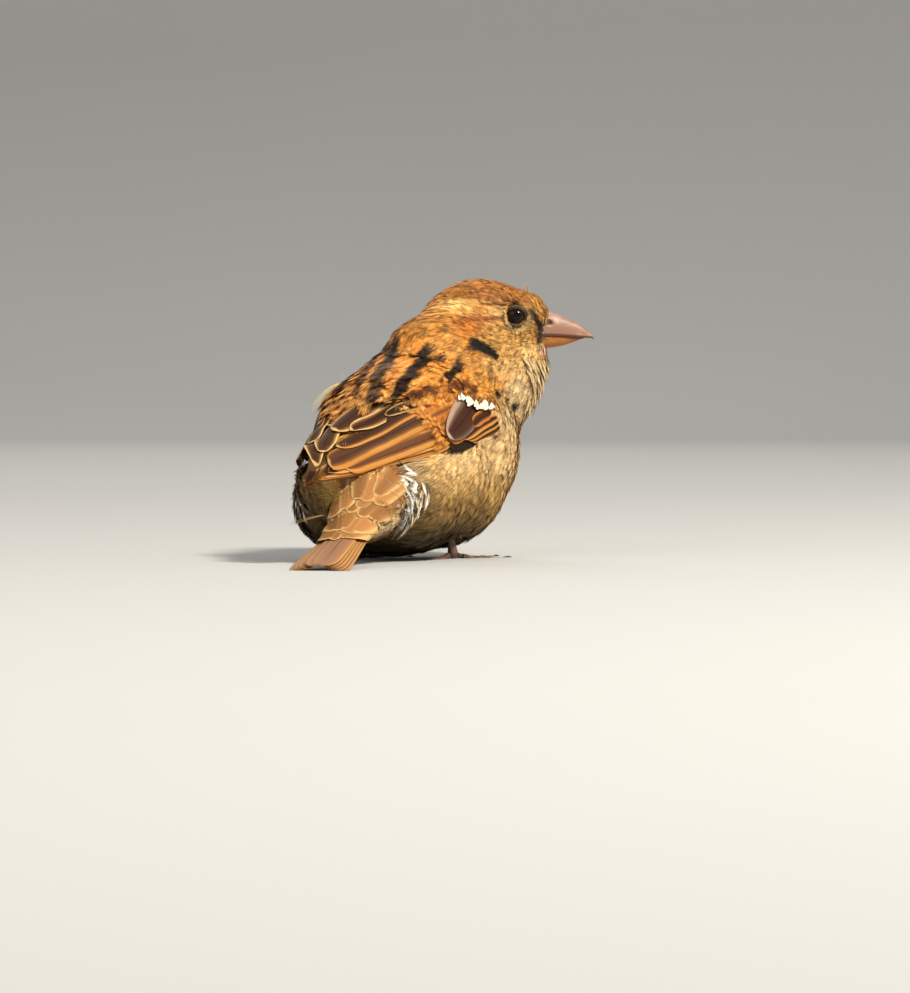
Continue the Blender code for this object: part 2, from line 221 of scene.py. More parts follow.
def new_finish(name, roughness=0.6, **constants):
    """A material and the start of its formulas. Constants go straight on the shader's sockets."""
    material = bpy.data.materials.new(name)
    material.use_nodes = True
    shader = material.node_tree.nodes["Principled BSDF"]
    for key, value in dict(Roughness=roughness, **constants).items():
        shader.inputs[key.replace("_", " ")].default_value = value
    return material, Wire(material.node_tree)


def finish_with(material, colour, height=None, depth=0.0001, strength=0.6):
    """The colour, and the bump of a height whose depth is in metres."""
    tree = material.node_tree
    shader = tree.nodes["Principled BSDF"]
    tree.links.new(colour.socket, shader.inputs["Base Color"])
    if height is not None:
        bump = Wire(tree).add("Bump", {}, {"Height": height, "Strength": strength, "Distance": depth})
        tree.links.new(bump.socket, shader.inputs["Normal"])


# The pattern of a hen house sparrow: streaked rufous crown, pale brow, rufous patch behind a golden cheek,
# black bar under it, dark lores, cream throat, golden flanks, and a rufous back with black stripes. Skin and
# coat both take their colour from here.
CROWN, CROWN_DARK, CROWN_PALE = (0.41, 0.145, 0.024), (0.11, 0.032, 0.006), (0.60, 0.25, 0.048)
BROW, BROW_FRONT, BROW_SPOT = (0.86, 0.50, 0.16), (0.62, 0.27, 0.05), (0.85, 0.50, 0.15)
FOREHEAD, NAPE, EYE_STRIPE = (0.56, 0.32, 0.084), (0.60, 0.26, 0.046), (0.30, 0.086, 0.012)
EAR_PATCH, EAR_EDGE, CHEEK = (0.46, 0.145, 0.020), (0.66, 0.24, 0.03), (0.53, 0.275, 0.070)
BLACK, LORE = (0.010, 0.007, 0.005), (0.035, 0.020, 0.012)
EYE_GREY, THROAT, MALAR = (0.48, 0.30, 0.12), (0.68, 0.48, 0.24), (0.74, 0.47, 0.18)
UNDER_THROAT, CHIN_SKIN = (0.12, 0.050, 0.018), (0.56, 0.31, 0.19)
NECK, NECK_DARK = (0.54, 0.31, 0.10), (0.24, 0.095, 0.022)
# the palest of these three is painted sheen, for the flank's silky streaks
BREAST, FLANK, SILK_SHEEN = (0.74, 0.46, 0.16), (0.70, 0.41, 0.12), (0.88, 0.76, 0.56)
# the darker belly colour is painted shade on the underside
BELLY, BELLY_PAINTED_SHADE = (0.56, 0.36, 0.13), (0.085, 0.050, 0.018)
# the colour under the wing is painted shade in the hollow below the wing tips
UNDER_WING_SHADE, UNDERTAIL = (0.05, 0.03, 0.015), (0.70, 0.52, 0.27)
MANTLE, MANTLE_PALE, MANTLE_WORN = (0.72, 0.26, 0.036), (0.96, 0.56, 0.15), (0.62, 0.32, 0.09)
MANTLE_BLACK, MANTLE_BROWN, MANTLE_GREY = (0.028, 0.012, 0.006), (0.16, 0.05, 0.011), (0.13, 0.062, 0.028)
RUMP, RUMP_SHADED = (0.80, 0.46, 0.12), (0.20, 0.12, 0.039)
FLUFF, FLUFF_GREY = (0.92, 0.87, 0.76), (0.060, 0.048, 0.040)

# Along the face these run from front to back, as heights above the head's centre.
FACE_STATIONS = (-20.0, -16.8, -12.8, -9.0, -4.4, 3.5, 9.7, 14.4)
CROWN_EDGE = (3.5, 5.5, 8.2, 9.0, 8.6, 7.4, 7.2, 4.8)
EYE_LINE = (-4.0, -2.0, 0.6, 3.2, 4.2, 4.4, 4.3, 4.0)

# The front edge of the orange back, and its dark marks. Each mark runs through stations given as a share of
# the trunk's line and an angle, with a half width in millimetres and a colour.
MANTLE_EDGE_ANGLES = (-62.0, -18.0, 8.0, 22.0, 32.0, 41.0, 51.0, 63.0)
MANTLE_EDGE = (0.67, 0.645, 0.648, 0.668, 0.680, 0.690, 0.699, 0.730)
BACK_MARKS = (
    (((0.640, -9.0), (0.585, -3.0), (0.525, 1.0), (0.470, 5.0), (0.42, 13.0)), 2.00, MANTLE_GREY),
    (((0.64, -7.0), (0.60, -4.0), (0.57, -1.0)), 1.0, MANTLE_BLACK),
    (((0.64, -18.0), (0.575, -15.0), (0.50, -10.0), (0.44, -6.0)), 1.5, MANTLE_BROWN),
    (((0.640, 14.0), (0.600, 16.5), (0.560, 19.5), (0.510, 23.0), (0.445, 26.5)), 1.70, MANTLE_BLACK),
    (((0.605, 17.0), (0.625, 20.0), (0.645, 24.0)), 1.00, MANTLE_BLACK),
    (((0.672, 33.0), (0.640, 35.0), (0.595, 37.5)), 1.25, MANTLE_BLACK),
    (((0.665, 45.0), (0.615, 44.0), (0.560, 41.5), (0.52, 40.0), (0.480, 38.0), (0.43, 33.0)), 1.65,
     MANTLE_BROWN),
    (((0.69, 50.0), (0.67, 53.0), (0.64, 52.0)), 1.1, MANTLE_BROWN),
    (((0.65, -19.0), (0.60, -24.0), (0.545, -23.0), (0.47, -26.0)), 1.4, MANTLE_BLACK),
    (((0.62, -27.0), (0.57, -31.0), (0.50, -33.0)), 1.2, MANTLE_BLACK),
    (((0.66, -40.0), (0.58, -41.0), (0.50, -43.0), (0.42, -41.0)), 0.85, MANTLE_BROWN),
)
SPOTS = ((0.752, 61.0, 1.3), (0.795, 75.0, 1.3), (0.775, 68.0, 0.8))    # share, angle and size, on the neck
CHART_ARC, SPOT_ARC = 0.41, 0.38    # millimetres of surface for each degree, on the back and on the neck


def off_line(share, angle, stations):
    """Distance in millimetres over the back from a line through some stations."""
    nearest = np.full(len(share), 1e3)
    x, y = share * CHART_LENGTH, angle * CHART_ARC
    for (share_a, angle_a), (share_b, angle_b) in zip(stations, stations[1:]):
        ax, ay = share_a * CHART_LENGTH, angle_a * CHART_ARC
        dx, dy = share_b * CHART_LENGTH - ax, angle_b * CHART_ARC - ay
        t = np.clip(((x - ax) * dx + (y - ay) * dy) / (dx * dx + dy * dy), 0.0, 1.0)
        nearest = np.minimum(nearest, np.hypot(x - ax - t * dx, y - ay - t * dy))
    return nearest


def blob(*offsets):
    """A soft spot: 1 where every offset is 0, and a third as much at an offset of 1."""
    return np.exp(-sum(offset**2 for offset in offsets))


def near_down(share, angle):
    """Nearness to the loose down that shows behind each flank."""
    return blob((share - 0.345) / 0.050, (np.abs(angle) - 101.0) / 21.0)


def bands(value, period, phase=0.0):
    return 0.5 + 0.5 * np.sin(2.0 * math.pi * value / period + phase)


class Coat:
    """Colours at some places, painted over one another through masks."""

    def __init__(self, count, colour):
        self.colours = np.tile(np.asarray(colour), (count, 1))

    def lay(self, colour, mask):
        self.colours = self.colours + (np.asarray(colour) - self.colours) * mask[:, None]


def body_markings(points):
    ahead, side, high = in_head(points).T
    share, angle, _ = on_chart(points)
    _, y, z = points.T
    coat = Coat(len(points), FLANK)
    # pale streaks over the flank are a painted sheen on the silky feathers, stronger higher up
    sheen_streaks = bands(share * 2.2 + angle * 0.011 + 0.02 * bands(angle, 9.0), 0.05)
    coat.lay(BREAST, ramp(share, 0.58, 0.80) * ramp(z, 12.0, 24.0))
    coat.lay(SILK_SHEEN, sheen_streaks * 0.45 * ramp(z, 14.0, 26.0))
    coat.lay(BELLY, ramp(z, 15.0, 5.0) * 0.7)
    # painted shade under the belly, near black at the bottom
    coat.lay(BELLY_PAINTED_SHADE, ramp(z, 13.0, 5.0) * ramp(share, 0.70, 0.56) * 0.85)
    # painted shade on the body under the wing tips
    coat.lay(UNDER_WING_SHADE, ramp(share, 0.27, 0.23) * ramp(z, 17.0, 20.0))
    coat.lay(NECK, ramp(share, 0.66, 0.72) * ramp(z, 34.0, 40.0))
    # back and rump
    back = ramp(np.abs(angle), 66.0, 56.0) * ramp(share, 0.28, 0.32)
    front_edge = np.interp(angle, MANTLE_EDGE_ANGLES, MANTLE_EDGE)
    mantle = back * ramp(share, front_edge + 0.012, front_edge - 0.012)
    coat.lay(NAPE, back * ramp(z, 34.0, 40.0))
    coat.lay(MANTLE, mantle)
    pale = bands(share + angle * 0.0007, 0.055) * bands(angle + 40.0 * share, 7.0)
    coat.lay(MANTLE_PALE, mantle * pale * 0.75)
    coat.lay(MANTLE_WORN, mantle * ramp(share, 0.50, 0.43) * 0.6)
    for stations, half, colour in BACK_MARKS:
        beads = 0.72 + 0.55 * bands(share + 0.0013 * angle, 0.058, half * 9.0)
        off = off_line(share, angle, stations)
        coat.lay(colour, ramp(off, half * beads + 0.35, half * beads - 0.35) * back)
    coat.lay(RUMP, ramp(share, 0.36, 0.30) * ramp(z, 11.0, 15.0))
    coat.lay(RUMP_SHADED, ramp(share, 0.34, 0.28) * ramp(y, -4.0, 2.0) * 0.75)
    coat.lay(FLUFF_GREY, np.clip(near_down(share, angle) * 1.4, 0.0, 0.45))
    # neck and breast
    mottle = bands(ahead * 0.9 + high, 1.9) * bands(side * 1.3 - ahead * 0.4, 2.3, 1.0)
    coat.lay(NECK_DARK, ramp(share, 0.68, 0.72) * ramp(z, 33.0, 38.0) * mottle * 0.55)
    throat = ramp(ahead, 2.5, 7.5) * ramp(high, -4.6, -6.6) * ramp(high, -27.0, -21.0)
    coat.lay(THROAT, throat)
    coat.lay(UNDER_THROAT, throat * ramp(ahead, 9.0, 11.5) * ramp(high, -17.0, -13.0) * 0.75)
    for spot_share, spot_angle, spot in SPOTS:
        near = np.hypot((share - spot_share) * CHART_LENGTH, (np.abs(angle) - spot_angle) * SPOT_ARC)
        coat.lay(BLACK, ramp(near, spot + 0.4, spot - 0.4))
    coat.lay(NECK_DARK, ramp(off_line(share, np.abs(angle), ((0.79, 80.0), (0.81, 92.0))), 0.9, 0.4))
    # painted shade darkens the lower body towards the belly, and the undertail is pale again
    coat.colours = coat.colours * (1.0 - 0.58 * ramp(z, 25.0, 12.0) * ramp(share, 0.80, 0.60))[:, None]
    coat.lay(UNDERTAIL, ramp((points - TAIL_ROOT) @ TAIL_BACK, 3.0, 9.0) * ramp(z, 14.0, 11.0))
    return coat.colours


def head_markings(ahead, side, high):
    wide = np.abs(side)
    crown_edge = np.interp(ahead, FACE_STATIONS, CROWN_EDGE)
    eye_line = np.interp(ahead, FACE_STATIONS, EYE_LINE)
    face = Coat(len(ahead), CHEEK)
    face.lay(NAPE, ramp(ahead, -6.0, -11.0))
    face.lay(NECK, np.maximum(ramp(high, -5.6, -7.2), ramp(high, -2.0, -4.4) * ramp(ahead, -4.0, -6.5)))
    patch = blob((ahead + 5.6) / 4.6, (high - 1.6 - 0.22 * (ahead + 5.6)) / 2.9)
    face.lay(EAR_PATCH, np.clip(patch * 1.5, 0.0, 0.95))
    edging = blob((ahead + 6.2 + high * 0.5) / 1.9, (high + 3.2) / 3.4)
    face.lay(EAR_EDGE, np.clip(edging * 1.2, 0.0, 0.9))
    # the brow, brightest behind the eye
    brow = ramp(high, eye_line + 0.2, eye_line + 1.4) * ramp(high, crown_edge + 0.6, crown_edge - 0.6)
    face.lay(BROW_FRONT, brow * ramp(ahead, 9.5, 6.0))
    bright = blob((ahead + 8.6) / 4.2, (high - 7.2 - 0.10 * (ahead + 8.6)) / 1.45)
    face.lay(BROW, np.clip(bright * 1.7, 0.0, 1.0))
    face.lay(BROW_SPOT, np.clip(blob((ahead - 2.4) / 2.0, (high - 5.4) / 0.9) * 1.3, 0.0, 0.85))
    # the crown and forehead, with streaks
    crown = ramp(high, crown_edge - 0.5, crown_edge + 0.7)
    face.lay(CROWN, crown)
    face.lay(CROWN_PALE, crown * bands(wide + 0.3, 1.3) * bands(ahead, 1.7, wide * 2.0) * 0.9)
    face.lay(CROWN_DARK, crown * bands(wide + 0.22 * bands(ahead, 3.1), 0.95) * bands(ahead, 2.1, wide * 1.7))
    face.lay(FOREHEAD, ramp(ahead, 9.0, 13.0) * crown * 0.75)
    stripe = ramp(np.abs(high - eye_line + 0.6), 0.9, 0.2) * ramp(ahead, 5.0, 2.5) * ramp(ahead, -11.0, -6.0)
    face.lay(EYE_STRIPE, stripe * 0.85)
    strands = ramp(np.abs(high - 7.3 + 0.0192 * (ahead - 1.0) ** 2), 0.42, 0.12)
    face.lay(CROWN_DARK, strands * ramp(np.abs(ahead - 1.6), 3.6, 2.6) * 0.9)
    # round the eye, and down to the bill
    face.lay(EYE_GREY, ramp(np.hypot(ahead - 7.3, (high - 4.0) * 1.1), 4.9, 3.4) * ramp(high, 6.4, 4.6))
    off_lore = np.abs(ahead - 10.9 - (5.8 - high) * 0.62)
    lore = ramp(off_lore, 1.15, 0.55) * ramp(high, -1.2, 0.0) * ramp(high, 6.8, 5.9)
    gape = ramp(ahead, 11.8, 12.8) * ramp(high, 0.8, -0.2) * ramp(high, -3.4, -2.6)
    face.lay(LORE, np.clip(lore + gape, 0.0, 1.0) * 0.93)
    face.lay(MALAR, ramp(ahead, 7.0, 9.5) * ramp(high, -2.2, -3.4) * ramp(ahead, 14.6, 13.4) * 0.8)
    face.lay(LORE, ramp(np.hypot(ahead - 13.7, (high - 0.8) * 0.8), 1.7, 0.9) * 0.9)
    face.lay(CHIN_SKIN, ramp(np.hypot(ahead - 13.8, (high + 4.4) * 0.9), 1.6, 0.8))
    # the black bar under the cheek, which narrows and bends down forwards
    along_bar = ((ahead + 0.95) * 7.7 - (high + 3.95) * 3.7) / 8.54
    off_bar = ((ahead + 0.95) * 3.7 + (high + 3.95) * 7.7) / 8.54 + 0.04 * along_bar**2 - 0.2
    bar_half = 1.30 - 0.115 * along_bar
    face.lay(BLACK, ramp(np.abs(off_bar), bar_half + 0.2, bar_half - 0.2) * ramp(np.abs(along_bar), 4.6, 4.0))
    return face.colours


def markings(points):
    """The plumage's colour at places on the body."""
    ahead, side, high = in_head(points).T
    from_middle = np.sqrt((ahead / 1.15) ** 2 + (side * 0.72) ** 2 + (high + 1.0) ** 2)
    near_head = 1.0 - ramp(from_middle, 12.6, 16.5)[:, None]
    body = body_markings(points)
    return body + (head_markings(ahead, side, high) - body) * near_head


def values_of(items, field, width, kind=np.float32):
    """One field of all of a mesh's points, corners or triangles, as rows."""
    kept = np.empty(len(items) * width, kind)
    items.foreach_get(field, kept)
    return kept.reshape(-1, width)


def gathered(names):
    """Points in millimetres and triangles of some of the solids."""
    points, triangles, base = [], [], 0
    for name in names:
        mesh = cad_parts[name].data
        mesh.calc_loop_triangles()
        points.append(values_of(mesh.vertices, "co", 3) * 1000.0 - SHIFT)
        triangles.append(values_of(mesh.loop_triangles, "vertices", 3, np.int32) + base)
        base += len(mesh.vertices)
    return np.concatenate(points), np.concatenate(triangles)


class Surface:
    """A closed form that gives the nearest place on itself and the way out of it."""

    def __init__(self, points, faces):
        self.points, self.faces = points, faces
        self.tree = BVHTree.FromPolygons(points.tolist(), faces.tolist())
        corners = points[faces[:, :3]]
        outward = np.cross(corners[:, 1] - corners[:, 0], corners[:, 2] - corners[:, 0])
        at_points = np.zeros_like(points)
        for k in range(faces.shape[1]):
            np.add.at(at_points, faces[:, k], outward)
        self.point_normals = unit(at_points)
        self.face_normals = unit(self.point_normals[faces].mean(axis=1))

    def nearest(self, points):
        flat = points.reshape(-1, 3)
        found = [self.tree.find_nearest(place) for place in flat.tolist()]
        places = np.array([hit[0] for hit in found]).reshape(points.shape)
        faces = np.array([hit[2] for hit in found])
        return places, self.face_normals[faces].reshape(points.shape), faces.reshape(points.shape[:-1])

    def reach(self, starts, ways):
        """Distance to the first face met from each start, or a negative number."""
        hits = (self.tree.ray_cast(a, b) for a, b in zip(starts.tolist(), ways.tolist()))
        return np.array([hit[3] if hit[0] is not None else -1.0 for hit in hits])


def rough_copy(name, points, faces):
    """A form that modifiers work on, from points in millimetres. It is not a piece of the bird."""
    mesh = bpy.data.meshes.new(name)
    mesh.from_pydata((points * 0.001).tolist(), [], faces.tolist())
    return placed(name, mesh)


def worked(copy):
    """The mesh that its modifiers make of a form."""
    return bpy.data.meshes.new_from_object(copy.evaluated_get(bpy.context.evaluated_depsgraph_get()))


def melted(names, voxel, rounds):
    """Some of the solids grown into one smooth closed form."""
    lump = rough_copy("melting", *gathered(names))
    lump.modifiers.new("weld", "WELD").merge_threshold = 1e-6
    melt = lump.modifiers.new("melt", "REMESH")
    melt.mode, melt.voxel_size = "VOXEL", voxel * 0.001
    relax = lump.modifiers.new("relax", "SMOOTH")
    relax.factor, relax.iterations = 0.5, rounds
    made = worked(lump)
    places = values_of(made.vertices, "co", 3).astype(float) * 1000.0
    corners = values_of(made.loops, "vertex_index", 1, np.int32).reshape(-1, 4)
    bpy.data.objects.remove(lump)
    return places, corners


def coat_depth(points):
    """How deep the plumage is, in millimetres."""
    from_face = np.linalg.norm(in_head(points) - np.array((9.0, 0.0, 1.0)), axis=1)
    depth = 0.65 + 1.15 * ramp(from_face, 7.0, 32.0)
    down_tail = (points - TAIL_ROOT) @ TAIL_BACK
    return depth - 0.9 * ramp(down_tail, 0.0, 12.0)


def fullness(points):
    """How far the plumage is puffed out past the solids: over the crown, forehead, nape and throat, round the
    eyes, and over the shoulders."""
    ahead, side, high = in_head(points).T
    share, angle, _ = on_chart(points)
    return np.maximum.reduce((
        0.75 * ramp(high, 6.0, 11.0) * ramp(ahead, 14.0, 8.0),
        1.3 * ramp(ahead, 7.5, 12.5) * ramp(high, 1.0, 4.0) * ramp(ahead, 20.0, 16.5),
        1.7 * blob((ahead + 13.0) / 6.5, side / 14.0, (high - 3.0) / 8.0),
        1.2 * blob((ahead - 11.5) / 4.5, (high + 11.0) / 6.5),
        0.95 * blob((ahead - 7.1) / 4.2, (high - 4.8) / 3.6) * ramp(np.abs(side), 2.5, 5.0),
        1.9 * blob((share - 0.655) / 0.085, (angle + 12.0) / 24.0),
    ))


FLESH = ("head", "neck", "trunk", "rump")
BILL = ("bill_upper", "bill_lower")
STUMP_START, STUMP_MIDDLE = 15.0, np.array((0.0, 0.2))
VOXEL = 0.62

skin_points, skin_faces = melted(FLESH + BILL, VOXEL, 10)
outline = Surface(skin_points, skin_faces)
skin_points = skin_points - outline.point_normals * coat_depth(skin_points)[:, None]
# the stump that fills the bill is drawn back and thinned, so that it stays well inside the horn
stump = in_head(skin_points)
past = np.maximum(stump[:, 0] - STUMP_START, 0.0)[:, None]
stump[:, :1] -= past * 0.72
stump[:, 1:] = STUMP_MIDDLE + (stump[:, 1:] - STUMP_MIDDLE) * (1.0 - 0.45 * ramp(past, 0.0, 3.0))
skin_points = np.where(past > 0.0, from_head(stump), skin_points)
skin = Surface(skin_points, skin_faces)
hide, hide_wire = new_finish("hide_under_the_coat", 0.8)
speck = hide_wire.noise(900.0, 4.0)
finish_with(hide, (speck * 0.4).mix(hide_wire.reading("coat", 0), (0.16, 0.10, 0.06)), speck, 0.0003)
skin_piece = add_piece("skin", skin_points, [skin_faces], hide, FLESH)
# the hide is darker than the coat over it: the dark down at the feathers' roots, and painted shade deep in
# the coat
note(skin_piece, "coat", markings(skin_points) * 0.70)


# ---------------------------------------------------------------- small feathers
# Thousands of soft contour feathers, each a fan of barbs that springs from one shaft. They grow in the skin,
# lie back along the body and cover one another like tiles, with only their tips showing.
WINGS = tuple(f"wing_{side}_{part}" for side in ("right", "left")
              for part in ("primaries", "tertials", "coverts"))
WING_BACK, WING_FRONT = 0.08, 0.665
WING_SHARES = (0.09, 0.20, 0.31, 0.42, 0.525, 0.62, 0.72)
WING_TOP = (42.0, 31.0, 19.0, 27.0, 42.0, 54.0, 60.0)
WING_FOOT = (50.0, 68.0, 79.0, 83.0, 84.0, 86.0, 88.0)

# the bed is the face that the tips of the feathers are laid on, over body and wings together
hull_points, hull_faces = melted(FLESH + BILL + WINGS, VOXEL, 24)
hull = Surface(hull_points, hull_faces)
puffed = fullness(hull_points) - coat_depth(hull_points)
bed = Surface(hull_points + hull.point_normals * puffed[:, None], hull_faces)


def lie_of_coat(points, normals):
    """The way the feathers lie: away from the bill on the head, then back along the body to the tail."""
    from_bill = unit(points - from_head((15.0, 0.0, 0.0)))
    body = ramp(np.linalg.norm(points - HEAD_CENTRE, axis=1), 13.0, 25.0)[:, None]
    way = from_bill * (1.0 - body) + np.array((-0.87, 0.0, -0.49)) * body
    tail = ramp((points - TAIL_ROOT) @ TAIL_BACK, -18.0, -2.0)[:, None]
    way = way * (1.0 - tail) + (TAIL_BACK - UP * 0.25) * tail
    way = way - normals * (way * normals).sum(axis=1, keepdims=True)
    return unit(way)


def from_face(points):
    """Distance from the middle of the face, which sets how large the feathers are."""
    return np.linalg.norm(in_head(points) - np.array((10.0, 0.0, 1.0)), axis=1)


def scattered(surface, spacing, allowed):
    """Roots of feathers over a surface, no two nearer than the spacing: a number, or a function of place."""
    spacing_here = spacing if callable(spacing) else lambda places: np.full(len(places), spacing)
    corners = surface.points[surface.faces]
    cross = np.cross(corners[:, 2] - corners[:, 0], corners[:, 3] - corners[:, 1])
    area = np.linalg.norm(cross, axis=1) * 0.5
    gap = spacing_here(corners.mean(axis=1))
    weight = area / gap**2
    picked = chance.choice(len(area), int(weight.sum() * 3.2), p=weight / weight.sum())
    s, t = chance.random((2, len(picked), 1))
    a, b, c, d = (corners[picked, k] for k in range(4))
    places = (a * (1 - s) + b * s) * (1 - t) + (d * (1 - s) + c * s) * t
    places = places[allowed(places)]
    gap = spacing_here(places)
    near = KDTree(len(places))
    for i, place in enumerate(places.tolist()):
        near.insert(place, i)
    near.balance()
    open_still = np.ones(len(places), bool)
    for i, (place, reach) in enumerate(zip(places.tolist(), gap.tolist())):
        if open_still[i]:
            for _, j, _ in near.find_range(place, reach):
                if j > i:
                    open_still[j] = False
    return places[open_still]


def unwrapped(points, faces):
    """A flat layout of a lighter copy of the skin, and a reader of it for any place on the skin."""
    copy = rough_copy("layout", points, faces)
    copy.modifiers.new("lighter", "DECIMATE").ratio = 0.09
    light = worked(copy)
    copy.modifiers.clear()
    copy.data = light
    light.uv_layers.new(name="OFBake")
    bpy.context.view_layer.objects.active = copy
    copy.select_set(True)
    bpy.ops.object.mode_set(mode="EDIT")
    bpy.ops.mesh.select_all(action="SELECT")
    bpy.ops.mesh.quads_convert_to_tris()
    bpy.ops.uv.smart_project(angle_limit=math.radians(66.0), island_margin=0.01)
    bpy.ops.object.mode_set(mode="OBJECT")
    places = values_of(light.vertices, "co", 3).astype(float) * 1000.0
    corners = values_of(light.loops, "vertex_index", 1, np.int32).reshape(-1, 3)
    flat = values_of(light.uv_layers["OFBake"].data, "uv", 2).reshape(-1, 3, 2).astype(float)
    bpy.data.objects.remove(copy)
    tree = BVHTree.FromPolygons(places.tolist(), corners.tolist())

    def read(wanted):
        found = [tree.find_nearest(place) for place in wanted.tolist()]
        nearest = np.array([hit[0] for hit in found])
        faces_found = np.array([hit[2] for hit in found])
        a, b, c = (places[corners[faces_found, k]] for k in range(3))
        whole = np.cross(b - a, c - a)
        size = (whole * whole).sum(axis=1)
        weight_b = (np.cross(nearest - a, c - a) * whole).sum(axis=1) / size
        weight_c = (np.cross(b - a, nearest - a) * whole).sum(axis=1) / size
        weights = np.stack((1.0 - weight_b - weight_c, weight_b, weight_c), axis=1)[:, :, None]
        return (flat[faces_found] * weights).sum(axis=1)

    return read


skin_layout = unwrapped(skin_points, skin_faces)
UV_PATCH = 0.003                # how wide each feather's patch of the layout is
COLOUR_SLIP = 0.35 / 6.0        # how far barbs take their colour from their own place, as a share of length

down, down_wire = new_finish("soft_feather", 0.62, Specular_IOR_Level=0.25)
finish_with(down, down_wire.reading("coat", 0))


def add_layout(piece, places):
    """The piece's flat layout, one place for each point."""
    corners = values_of(piece.data.loops, "vertex_index", 1, np.int32)[:, 0]
    layer = piece.data.uv_layers.new(name="OFBake")
    layer.data.foreach_set("uv", places[corners].astype(np.float32).ravel())


def lay_small_feathers(name, roots, length, half_width, barbs, barb_width, lift, shade=0.72, ways=None,
                       tones=None, pointed=0.0, loose=0.07, patchy=0.10, roll=1.0):
    """Fans of barbs at the roots. Sizes are in millimetres, one for all or one each, and lift is for tips.
    They lie along the coat and take its colours, unless other ways and tones are given."""
    count = len(roots)
    length, half_width, barb_width, lift = (
        np.broadcast_to(np.asarray(size, float), (count,)) for size in (length, half_width, barb_width, lift))
    _, normals, _ = bed.nearest(roots)
    if ways is None:
        ways = lie_of_coat(roots, normals)
    sides = unit(np.cross(normals, ways))
    swing = chance.normal(size=(count, 1)) * loose
    ways, sides = unit(ways + sides * swing), unit(sides - ways * swing)
    place = (np.arange(barbs) + 0.5) / barbs * 2.0 - 1.0
    place = place[None, :] + chance.normal(size=(count, barbs)) * 0.6 / barbs
    grown = 1.0 + chance.normal(size=(count, barbs)) * 0.05
    start = np.clip(0.46 - 0.38 * np.abs(place), 0.03, 0.5) * grown
    tip = (1.0 - 0.26 * place**2) * grown
    along = np.stack((start, start * 0.42 + tip * 0.58, tip), axis=2) * length[:, None, None]
    bow = np.stack((place * 0.10, place * 0.78, place * (1.0 - pointed)), axis=2)
    across = bow * half_width[:, None, None]
    home = roots[:, None, None]
    spine = home + ways[:, None, None] * along[..., None] + sides[:, None, None] * across[..., None]
    on_bed, out, _ = bed.nearest(spine)
    # where the bed turns away sharply, as under a wing tip, a feather would be pulled out of shape
    pulled = np.linalg.norm(on_bed - spine, axis=3).max(axis=(1, 2)) > np.maximum(1.3, length * 0.34)
    settled = np.where(pulled[:, None, None, None], home + (on_bed - home) * 0.15, on_bed)
    rise = (along / length[:, None, None]) ** 0.8
    height = rise * (lift * (1.0 + chance.normal(size=count) * 0.05))[:, None, None]
    spine = settled + out * (height - 0.08)[..., None]
    # each barb is a thin strip, rolled a little about its own length
    run = unit(spine[:, :, 2] - spine[:, :, 0])[:, :, None]
    flat = unit(np.cross(out, run))
    tilt = roll * (chance.normal(size=(count, barbs, 1)) * 0.20 + place[..., None] * 0.18)[..., None]
    flat = unit(flat * np.cos(tilt) + out * np.sin(tilt))
    wide = barb_width[:, None] * (0.8 + 0.4 * chance.random((count, barbs)))
    halves = wide[..., None] * np.array((0.40, 0.50, 0.0))
    left, right = spine + flat * halves[..., None], spine - flat * halves[..., None]
    points = np.stack((left[:, :, 0], right[:, :, 0], left[:, :, 1], right[:, :, 1], spine[:, :, 2]), axis=2)
    first = np.arange(count * barbs)[:, None] * 5
    quads, tris = first + np.array((0, 1, 3, 2)), first + np.array((2, 3, 4))
    piece = add_piece(name, points.reshape(-1, 3), [quads, tris], down)
    # each barb takes its colour a little before or after its own place, so that marks have ragged edges
    slip = (chance.normal(size=(count, barbs, 1)) * COLOUR_SLIP * length[:, None, None])[..., None] * run
    colour = markings((spine[:, :, 1:] + slip).reshape(-1, 3)).reshape(count, barbs, 2, 3)
    if tones is not None:
        colour = np.broadcast_to(tones[:, None, None], colour.shape)
    tone = 1.0 + chance.normal(size=(count, 1, 1, 1)) * patchy
    tone = tone + chance.normal(size=(count, barbs, 1, 1)) * 0.20
    colour = np.clip(colour * np.clip(tone, 0.35, 1.6), 0.0, 1.0)
    # barbs darken towards their roots: the dark down of real feather bases, and painted shade deep in the
    # coat
    deep = colour[:, :, 0] * shade + np.array((0.02, 0.017, 0.014))
    middle, end = colour[:, :, 0] * 0.97, np.clip(colour[:, :, 1] * 1.08, 0.0, 1.0)
    note(piece, "coat", np.stack((deep, deep, middle, middle, end), axis=2).reshape(-1, 3))
    # every feather has its own small patch of the skin's layout
    aside = across / (2.2 * half_width[:, None, None]) + 0.5
    local = np.stack((along / length[:, None, None], aside), axis=3)
    local = local[:, :, (0, 0, 1, 1, 2)]
    local[:, :, (1, 3), 1] += 0.02
    patch = (np.clip(local, 0.0, 1.0) - 0.5) * UV_PATCH
    add_layout(piece, (skin_layout(roots)[:, None, None] + patch).reshape(-1, 2))


BARE_EYE, BARE_BILL = 2.62, 14.1    # how far from the eye's middle, and how far forward, feathers end


